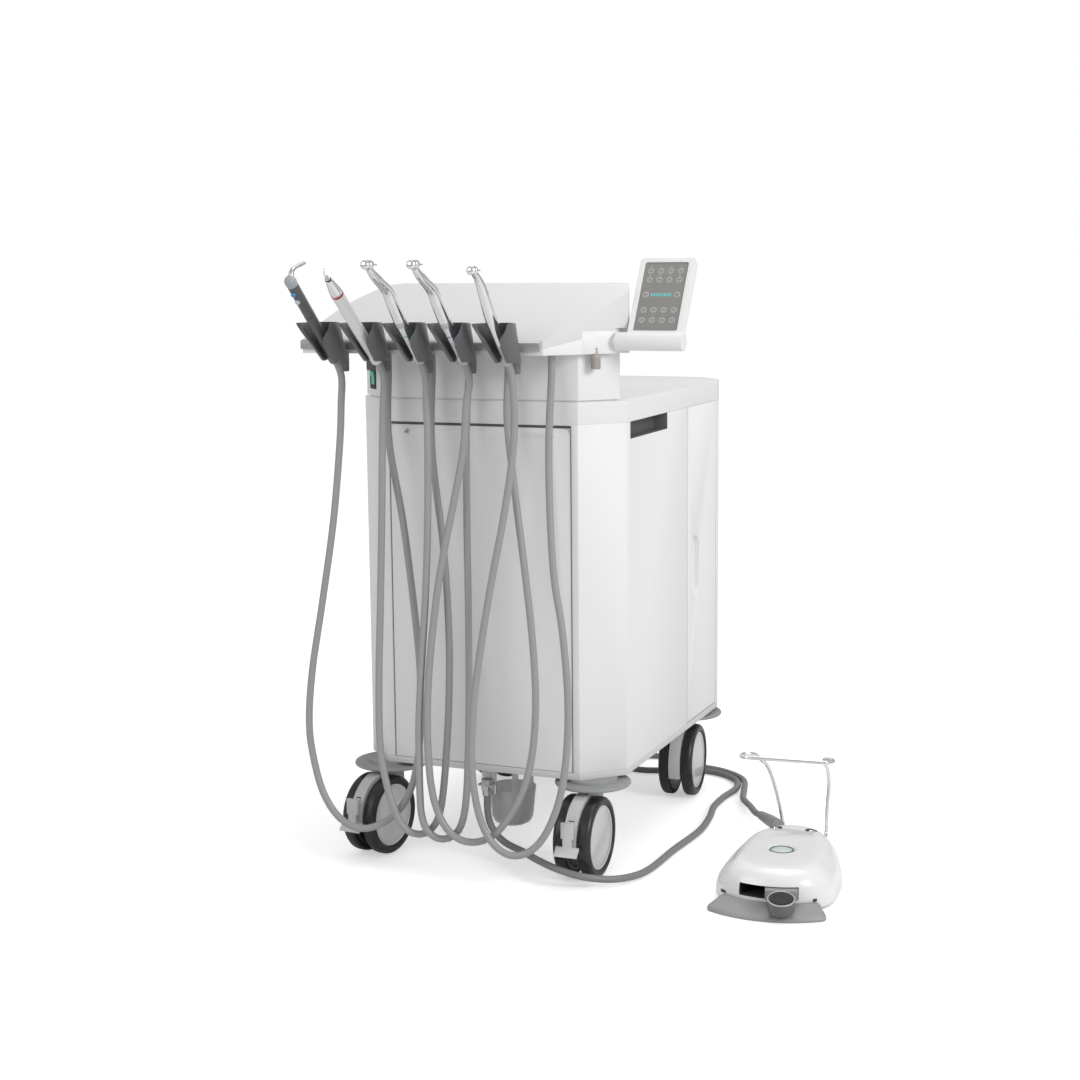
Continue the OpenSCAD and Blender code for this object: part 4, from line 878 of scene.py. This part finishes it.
class DENTAL_OT_handpieces(bpy.types.Operator):
    """Builds the handpieces standing in their holders"""

    bl_idname = "dental.handpieces"
    bl_label = "Handpieces"

    def execute(self, context):
        dark = finish("syringe_moulding", (0.095, 0.10, 0.105), 0.34, change=0.08, coat=0.1)
        pale = finish("syringe_end_moulding", (0.36, 0.39, 0.41), 0.35)
        blue = finish("blue_cap", (0.08, 0.28, 0.55), 0.3)
        light = finish("pale_cap", (0.55, 0.62, 0.66), 0.3)
        white = finish("scaler_sleeve", (0.74, 0.74, 0.735), 0.3, coat=0.15)
        red = finish("ring_red", (0.42, 0.03, 0.04), 0.3)
        green = finish("ring_green", (0.04, 0.30, 0.16), 0.3)
        navy = finish("ring_blue", (0.04, 0.10, 0.34), 0.3)
        collar = finish("hose_collar", (0.16, 0.165, 0.165), 0.4)
        clear = finish("coupling_plastic", (0.66, 0.68, 0.69), 0.22, clear=0.3)

        # syringe
        form = Form()
        form.add(turned([(0, -4), (7.2, -4), (8.6, -2.6), (9, 0), (9, 9.5), (8.2, 12)], 40), collar)
        add_banded(form, [(0, 11, 8.25), (0, 60, 8.25), (0, 130, 8.3), (0, 166, 8.3)], [(0, 200, dark)])
        form.add(ring(100, 8.45, 1.2), black_moulding())
        form.add(turned([(8.2, 165), (8.7, 167), (9, 172), (8.4, 176), (6.4, 179.4), (3.4, 180.8), (0, 181)],
                        40), pale)
        tip = smooth_path([(0, 2, 174), (0, 14, 179), (0, 24, 176), (0, 48, 160)], 2)
        form.add(tube(tip, [4.6 - min(i * 0.16, 1.9) for i in range(len(tip))], 20), satin_steel())
        made("syringe_body", form, "cabinet", tool_place(0), replaces=("syringe",))
        for node, z, m in (("air_button", 154, blue), ("water_button", 138, light)):
            form = Form().add(turned([(0, 0), (3.5, 0), (3.5, 5.6), (3.1, 6.3), (2.2, 6.5), (0, 6.35)], 32),
                              m)
            made(node + "_cap", form, node, tool_place(0) @ move(0, -5, z) @ turn("X", 90), replaces=(node,))

        # scaler
        form = Form()
        form.add(tail_collar(8.6), white)
        add_banded(form, [(0, 11, 8.6), (0, 40, 9.2), (0, 110, 9.3), (0, 153, 9.2)], [(0, 200, white)])
        form.add(ring(153, 9.45, 3.6), red)
        form.add(turned([(9.0, 156.4), (9.2, 157.5), (8.8, 163), (7.4, 172), (5.9, 181), (5.0, 186.5),
                         (4.2, 187)], 40), bright_steel())
        form.add(ring(187, 4.9, 2.2), black_moulding())
        form.add(turned([(3.8, 188.8), (4.4, 189.3), (4.4, 191), (2.4, 192.6), (2.0, 195), (0, 195.4)], 32),
                 satin_steel())
        hook = smooth_path([(0, 0, 190), (0, -2, 198), (0, 0, 204), (0, 4, 206), (0, 9, 204)], 1)
        form.add(tube(hook, [1.5 - 0.9 * i / (len(hook) - 1) for i in range(len(hook))], 14), bright_steel())
        made("scaler_body", form, "cabinet", tool_place(1), replaces=("scaler",))

        # contra-angles
        for i, node, colour in ((2, "contra_angle_left", green), (3, "contra_angle_right", navy)):
            form = Form()
            form.add(tail_collar(8.4), satin_steel())
            stations = [(0, 11, 8.4), (0, 50, 9.2), (0.5, 84, 9.5), (2.6, 118, 9.1), (4.6, 143, 8.6),
                        (0, 162, 7.4), (-8.5, 187, 5.7), (-11, 208, 4.6)]
            add_banded(form, stations, [(0, 66, bright_steel()), (66, 76, satin_steel()),
                                        (76, 140, bright_steel()), (140, 220, bright_steel())])
            form.add(ring(60, 9.45, 1.6), colour)
            form.add(ring(18, 8.75, 1.0), black_moulding())
            form.add(tube(smooth_path([(0, 9, 150), (0, 6.5, 168), (0, 0, 186), (0, -3.5, 198)], 2), 1.3, 12),
                     satin_steel())
            add_head(form, turn("X", -46) @ move(0, -160, 141) @ turn("X", -90), 6.5, 9, 9)
            made(node + "_body", form, "cabinet", tool_place(i), replaces=(node,),
                 sharp=35)

        # turbine
        form = Form()
        form.add(tail_collar(8.4), clear)
        stations = [(0, 11, 8.2), (-2.4, 30, 8.5), (-4, 60, 8.9), (-3, 95, 8.7), (-0.6, 128, 7.7),
                    (0.6, 145, 6.7), (-3, 166, 5.1), (-9, 180, 4.5)]
        add_banded(form, stations, [(0, 26, satin_steel()), (26, 200, bright_steel())])
        form.add(ring(20, 8.7, 1.4), black_moulding())
        add_head(form, turn("X", -40) @ move(0, -119, 132) @ turn("X", -90), 6.3, 7, 6)
        made("turbine_body", form, "cabinet", tool_place(4), replaces=("turbine",),
             sharp=35)
        return {"FINISHED"}


# ---------------------------------------------------------------- foot control

# levels of the housing: height, front radius, half widths at the middle, shoulder and rear, rear reach
FOOT_LEVELS = [
    (3, 112, 86, 72, 42, 166), (6, 114, 88, 74, 43, 168), (14, 114.3, 88.2, 74, 43, 167),
    (22, 114.2, 87, 73, 42, 164), (30, 113.6, 84, 71, 40, 159), (38, 112, 79, 68, 38, 152),
    (45, 108.5, 73, 64, 34, 146), (51, 103.5, 67, 59, 30, 140),
    (55.5, 97.5, 61.5, 54, 26, 134.5), (58.3, 91, 56, 49, 22, 129), (59.6, 84, 50, 43, 18, 123),
    (60, 76, 44, 37, 14, 116),
]


BASE_LEVELS = [(0.0, 107, 82, 68, 38, 160), (1.0, 109, 84, 70, 40, 163), (3.0, 109, 84, 70, 40, 163)]
LEVER_W, SWING = 47, 9.9  # width of the lever arm and its turn at rest
STUD_X, STUD_Y = 28, 104


def rounded_outline(corners, centre=(0, 20), n=128, blur=5):
    """Star-shaped outline through the corners, its corners rounded by averaging"""
    reach = []
    for k in range(n):
        a = 2 * math.pi * k / n
        d, best = (math.cos(a), math.sin(a)), 1e9
        for (x0, y0), (x1, y1) in zip(corners, corners[1:] + corners[:1]):
            ex, ey, px, py = x1 - x0, y1 - y0, x0 - centre[0], y0 - centre[1]
            den = d[0] * ey - d[1] * ex
            if abs(den) > 1e-9:
                t, s = (px * ey - py * ex) / den, (px * d[1] - py * d[0]) / den
                if t > 0 and -1e-9 <= s <= 1 + 1e-9:
                    best = min(best, t)
        reach.append(best)
    for _ in range(2):
        reach = [sum(reach[(k + j) % n] for j in range(-blur, blur + 1)) / (2 * blur + 1) for k in range(n)]
    return [(centre[0] + r * math.cos(2 * math.pi * k / n),
             centre[1] + r * math.sin(2 * math.pi * k / n)) for k, r in enumerate(reach)]


def foot_outline(radius, half, shoulder, rear_half, rear, blur=3):
    a = math.asin(min(half / radius, 1))
    front = [(radius * math.sin(t), -radius * math.cos(t)) for t in [-a + 2 * a * k / 12 for k in range(13)]]
    return rounded_outline(front + [(half, 20), (shoulder, 85), (rear_half, rear), (-rear_half, rear),
                                    (-shoulder, 85), (-half, 20)], blur=blur)


def foot_rings(levels):
    return [[(x, y, z) for x, y in foot_outline(*rest)] for z, *rest in levels]


def cut_away(obj, cutters):
    """Cuts the cutters' shapes out of a piece"""
    for form in cutters:
        mesh = mesh_of("cutter", form, TO_ROW @ FOOT_PLACE, obj.data.materials)
        tool = placed("cutter", mesh)
        mod = obj.modifiers.new("cut", "BOOLEAN")
        mod.object, mod.operation, mod.solver = tool, "DIFFERENCE", "EXACT"
        bake(obj)
        bpy.data.objects.remove(tool)
        bpy.data.meshes.remove(mesh)


def block(lo, hi):
    (a, b, c), (d, e, f) = lo, hi
    return loft([[(a, b, c), (d, b, c), (d, e, c), (a, e, c)], [(a, b, f), (d, b, f), (d, e, f), (a, e, f)]])


class DENTAL_OT_foot_control(bpy.types.Operator):
    """Builds the foot control: housing, rest, lever, bail and studs"""

    bl_idname = "dental.foot_control"
    bl_label = "Foot control"

    def execute(self, context):
        white = finish("foot_housing_gloss", (0.80, 0.80, 0.80), 0.16, change=0.015, grain=700, depth=0.02,
                       coat=0.5)
        inside = finish("foot_inside", (0.05, 0.05, 0.05), 0.6)
        grey = finish("foot_rest_moulding", (0.30, 0.30, 0.30), 0.36, change=0.04, grain=1300, depth=0.08,
                      wear=0.1)
        dark = finish("pad_cup", (0.115, 0.115, 0.118), 0.35, change=0.06)
        arm = finish("lever_moulding", (0.27, 0.27, 0.272), 0.38, change=0.05)
        teal = finish("lens_ring", (0.05, 0.11, 0.115), 0.18, metal=0.3, coat=0.6)
        lens = finish("lens_dome", (0.60, 0.66, 0.67), 0.10, coat=0.6)
        thin = finish("thin_light_ring", (0.55, 0.55, 0.55), 0.28, metal=0.5)

        # housing
        form = Form().add(loft(foot_rings(FOOT_LEVELS)), white)
        form.materials.append(inside)
        obj = made("foot_housing_shell", form, "cabinet", FOOT_PLACE, replaces=("foot_housing",),
                   sharp=30)

        def half(y):
            a = math.radians(SWING)
            return LEVER_W / 2 / math.cos(a) + y * math.tan(a) + 1

        def cutter(shape, which):
            f = Form().add(shape, white)
            f.which = [which] * len(f.faces)
            return f

        wedge = [(-half(0), 12), (-half(126), -126), (half(126), -126), (half(0), 12)]
        cuts = [cutter(loft([[(x, y, z) for x, y in wedge] for z in (20, 38)]), 1)]
        for s in (-1, 1):
            points, faces = turned([(0, 50), (8.4, 50), (8.4, 58.2), (9.6, 59.6), (11.2, 60.4), (11.2, 64),
                                    (0, 64)], 40)
            cuts.append(cutter(([(x + s * STUD_X, y + STUD_Y, z) for x, y, z in points], faces), 1))
            x = s * 47.3
            cuts.append(cutter(block((x - 16, 148, -8), (x + 16, 180, 48)), 0))
        cuts.append(cutter(turned([(0, 57.2), (18.6, 57.2), (19.6, 57.6), (21.6, 59.4), (22.6, 60.3),
                                   (22.6, 64), (0, 64)], 72), 0))
        cuts.append(cutter(block((7, 139, 44), (29, 180, 64)), 1))
        cut_away(obj, cuts)
        smooth_faces(obj, 30)

        # indicator lens in its dish
        form = Form()
        form.add(turned([(0, 57), (18.4, 57), (18.4, 58.8), (17.8, 59.5), (16.6, 59.6), (15.9, 59.2),
                         (15.6, 58.4), (0, 58.4)], 72), teal)
        form.add(turned([(18.3, 57.6), (18.9, 57.6), (18.9, 58.6), (18.3, 58.9)], 72), thin)
        form.add(turned([(0, 58), (15.2, 58), (14.6, 58.9), (11.5, 59.8), (6, 60.3), (0, 60.5)], 64), lens)
        made("indicator_lens", form, "cabinet", FOOT_PLACE)

        # base plate and foot rest
        form = Form()
        form.add(loft(foot_rings(BASE_LEVELS)), inside)
        sections, n = [], 64
        for k in range(n + 1):
            a = math.radians(-37.5 + 75 * k / n)
            edge = abs(k / n - 0.5) * 2
            trim = 26 * max(0, edge - 0.86) ** 1.6 / 0.14 ** 1.6 * 0.5
            far = min(156, 90 / max(abs(math.sin(a)), 1e-6)) - trim
            low = max(0, edge - 0.95) / 0.05
            profile = [(107, 0), (107, 2.9), (114.5, 2.9), (114.5, 15.2 - 1.6 * low), (116, 15.6 - 2 * low),
                       (124, 14.2 - 2 * low), (far - 9, 8.6 - 1.0 * low), (far - 4, 7.2 - low),
                       (far - 1.6, 5.8 - low), (far - 0.3, 3.6 - 0.5 * low), (far, 1.6), (far - 0.4, 0)]
            sections.append([(r * math.sin(a), -r * math.cos(a), z) for r, z in profile])
        form.add(loft(sections), grey)
        made("foot_rest", form, "cabinet", FOOT_PLACE, replaces=("foot_base",),
             bevel=0.0010, sharp=32)

        # slots either side of the window
        form = Form()
        for angle, length in ((-38, 11), (35, 7)):
            spot = turn("Z", angle) @ move(0, -113.6, 0)
            form.add(soft_slab(length, 3.4, 4.2, 1.2, 0.6), inside, spot @ move(-length / 2, -0.9, 15.4))
        made("housing_slots", form, "cabinet", FOOT_PLACE)

        # lever with its ribbed pad
        swing = turn("Z", SWING)
        form = Form()
        form.add(turned([(0, 21.5), (23, 21.5), (23.5, 22), (23.5, 36), (23, 36.5), (0, 36.5)], 56), arm,
                 swing)
        form.add(turned([(0, 7), (6, 7), (6, 52), (0, 52)], 24), satin_steel(), swing)
        form.add(soft_slab(LEVER_W, 112, 15, 2.5, 1.2), arm, swing @ move(-LEVER_W / 2, -123, 21.5))
        form.add(soft_slab(28, 40, 10, 3, 1.5), arm, swing @ move(-14, -146, 21.5))
        pad = swing @ move(0, -150, 23.5) @ turn("X", 13)
        form.add(turned([(0, -8), (17.8, -8), (18.8, -7), (19.2, -4), (19.8, 11.4), (19.3, 12.2),
                         (17.4, 12.2), (17.4, 10), (0, 10)], 72), dark, pad)
        form.add(turned([(19.2, 10.8), (20.0, 11.2), (20.0, 12.2), (19.2, 12.8), (18.4, 12.6), (18.4, 11)],
                        72), thin, pad)
        form.add(turned([(0, 9.5), (17.2, 9.5), (17.2, 12.2), (16.4, 12.8), (0, 12.8)], 64), black_moulding(),
                 pad)
        for i in range(-6, 7):
            reach = math.sqrt(max(16.2 ** 2 - (i * 2.45) ** 2, 1))
            form.add(soft_slab(1.3, 2 * reach, 1.4, 0.4, 0.35, 2), black_moulding(),
                     pad @ move(i * 2.45 - 0.65, -reach, 12.5))
        made("foot_lever_pad", form, "lever", FOOT_PLACE, replaces=("foot_lever",),
             sharp=35)

        # bail
        side = [(33, 178, 16), (34, 205, 20), (34, 212, 27), (35, 205, 40), (38.5, 189, 74),
                (44, 168, 115), (47, 132, 149), (49, 95, 168), (52, 64, 184), (57, 50, 189), (64, 46, 190),
                (69, 40, 190), (69, 32, 190), (62, 26, 190), (50, 25, 190)]
        route = [(35.5, 165, 17.4), *side, *[(-x, y, z) for x, y, z in side[::-1]], (-35.5, 165, 17.4)]
        form = Form().add(tube(smooth_path(route, 4), 3.0, 20, (0, 0, 1)), bright_steel())
        for s in (-1, 1):
            form.add(tube([(s * 23, 163, 18), (s * 38, 163, 18)], 2.95, 24, (0, 0, 1)), bright_steel())
        made("wire_bail", form, "bail", FOOT_PLACE, replaces=("foot_bail",), sharp=60)

        # studs
        for key, s in (("left", -1), ("right", 1)):
            form = Form()
            form.add(turned([(0, 39), (4.4, 39), (4.4, 54.6), (7.0, 54.6), (7.4, 55.2), (7.4, 57.4),
                             (6.6, 58.2), (4.6, 58.4), (4.2, 57.6), (0, 57.4)], 48), bright_steel())
            for k in range(3):
                form.add(soft_slab(1.5, 7.4, 1.0, 0.3, 0.3, 2), satin_steel(),
                         turn("Z", 60 * k + 15) @ move(-0.75, -3.7, 57.3))
            made("stud_" + key, form, "stud_" + key, FOOT_PLACE @ move(s * STUD_X, STUD_Y, 0),
                 replaces=("foot_button_" + key,))

        # strain relief
        end, ahead = Vector(FLOOR_ROUTE[-1]), Vector((0.515, -0.845, 0.13)).normalized()
        place = Matrix.Translation(end) @ ahead.to_track_quat("Z", "Y").to_matrix().to_4x4()
        profile = [(0, 0), (6.9, 0), (7.4, 0.6)]
        for i in range(7):
            z, r = 6 + 7 * i, 7.5 + 2.5 * (6 + 7 * i) / 58
            profile += [(r, z), (r, z + 4.4), (r - 0.8, z + 4.9), (r - 0.8, z + 6.4)]
        profile += [(9.9, 56), (10, 100), (0, 100)]
        made("hose_strain_relief", Form().add(turned(profile, 40), arm), "cabinet", place,
             sharp=35)
        return {"FINISHED"}


def show(tree, output, lighting, seen):
    """Ends a node tree: one shader lights the scene and the other is what the camera sees"""
    ray = add_node(tree, "ShaderNodeLightPath").outputs["Is Camera Ray"]
    mix = add_node(tree, "ShaderNodeMixShader", {"Fac": ray, 1: lighting, 2: seen})
    add_node(tree, output, {"Surface": mix.outputs[0]})


class DENTAL_OT_stage(bpy.types.Operator):
    """Lays the pale floor and sets the studio lights"""

    bl_idname = "dental.stage"
    bl_label = "Stage"

    def execute(self, context):
        scene = context.scene
        scene.view_settings.view_transform = "Standard"
        mesh = bpy.data.meshes.new("floor")
        mesh.from_pydata([(-12, -12, -0.0005), (12, -12, -0.0005), (12, 12, -0.0005), (-12, 12, -0.0005)], [],
                         [(0, 1, 2, 3)])
        floor = placed("floor", mesh)
        m = bpy.data.materials.new("studio_floor")
        m.use_nodes = True
        tree = m.node_tree
        tree.nodes.clear()
        diffuse = add_node(tree, "ShaderNodeBsdfDiffuse", {"Color": (0.82, 0.82, 0.82, 1)}).outputs[0]
        place = add_node(tree, "ShaderNodeTexCoord").outputs["Object"]
        away = add_node(tree, "ShaderNodeVectorMath", {0: place}, operation="LENGTH").outputs["Value"]
        level = add_node(tree, "ShaderNodeMapRange", {
            "Value": away, "From Min": 0.7, "From Max": 2.2, "To Min": 0.46, "To Max": 0.64})
        lift = add_node(tree, "ShaderNodeEmission", {"Strength": level.outputs["Result"]}).outputs[0]
        both = add_node(tree, "ShaderNodeAddShader", {0: diffuse, 1: lift}).outputs[0]
        show(tree, "ShaderNodeOutputMaterial", diffuse, both)
        mesh.materials.append(m)

        world = bpy.data.worlds.new("studio")
        scene.world = world
        world.use_nodes = True
        tree = world.node_tree
        tree.nodes.clear()
        sky, back = (add_node(tree, "ShaderNodeBackground", {"Color": (1, 1, 1, 1), "Strength": k}).outputs[0]
                     for k in (0.50, 1.0))
        show(tree, "ShaderNodeOutputWorld", sky, back)
        for name, spot, aim, size, power in (
            ("key_light", (3.0, -1.3, 2.1), (0, 0, 0.45), 1.3, 58),
            ("fill_light", (-1.6, -2.6, 1.9), (-0.1, 0, 0.5), 2.0, 20),
            ("top_light", (0.2, 0.6, 2.9), (0, 0, 0.4), 2.0, 24),
        ):
            data = bpy.data.lights.new(name, "AREA")
            data.size, data.energy = size, power
            lamp = placed(name, data)
            lamp.location = spot
            lamp.rotation_euler = (Vector(aim) - Vector(spot)).to_track_quat("-Z", "Y").to_euler()
        return {"FINISHED"}


class DENTAL_PT_unit(bpy.types.Panel):
    """Colours, sizes and build steps of the dental unit"""

    bl_label = "Dental Unit"
    bl_idname = "DENTAL_PT_unit"
    bl_space_type = "VIEW_3D"
    bl_region_type = "UI"
    bl_category = "Dental Unit"

    def draw(self, context):
        for key in ("paint", "hose", "holder", "lamp", "edge"):
            self.layout.prop(context.scene.dental_unit, key)
        for step in STEPS:
            self.layout.operator(step.bl_idname)


STEPS = (DENTAL_OT_camera, DENTAL_OT_hoses, DENTAL_OT_cabinet, DENTAL_OT_machinery, DENTAL_OT_casters,
         DENTAL_OT_console,
         DENTAL_OT_knobs, DENTAL_OT_panel, DENTAL_OT_handpieces, DENTAL_OT_foot_control, DENTAL_OT_stage)
CLASSES = (UnitSettings, *STEPS, DENTAL_PT_unit)


def register():
    for c in CLASSES:
        bpy.utils.register_class(c)
    bpy.types.Scene.dental_unit = bpy.props.PointerProperty(type=UnitSettings)


def unregister():
    del bpy.types.Scene.dental_unit
    for c in reversed(CLASSES):
        bpy.utils.unregister_class(c)


def main():
    register()
    bpy.ops.dental.camera()
    bpy.ops.dental.hoses()
    bpy.ops.dental.cabinet()
    bpy.ops.dental.machinery()
    bpy.ops.dental.casters()
    bpy.ops.dental.console()
    bpy.ops.dental.knobs()
    bpy.ops.dental.panel()
    bpy.ops.dental.handpieces()
    bpy.ops.dental.foot_control()
    bpy.ops.dental.stage()


if __name__ == "__main__":
    main()
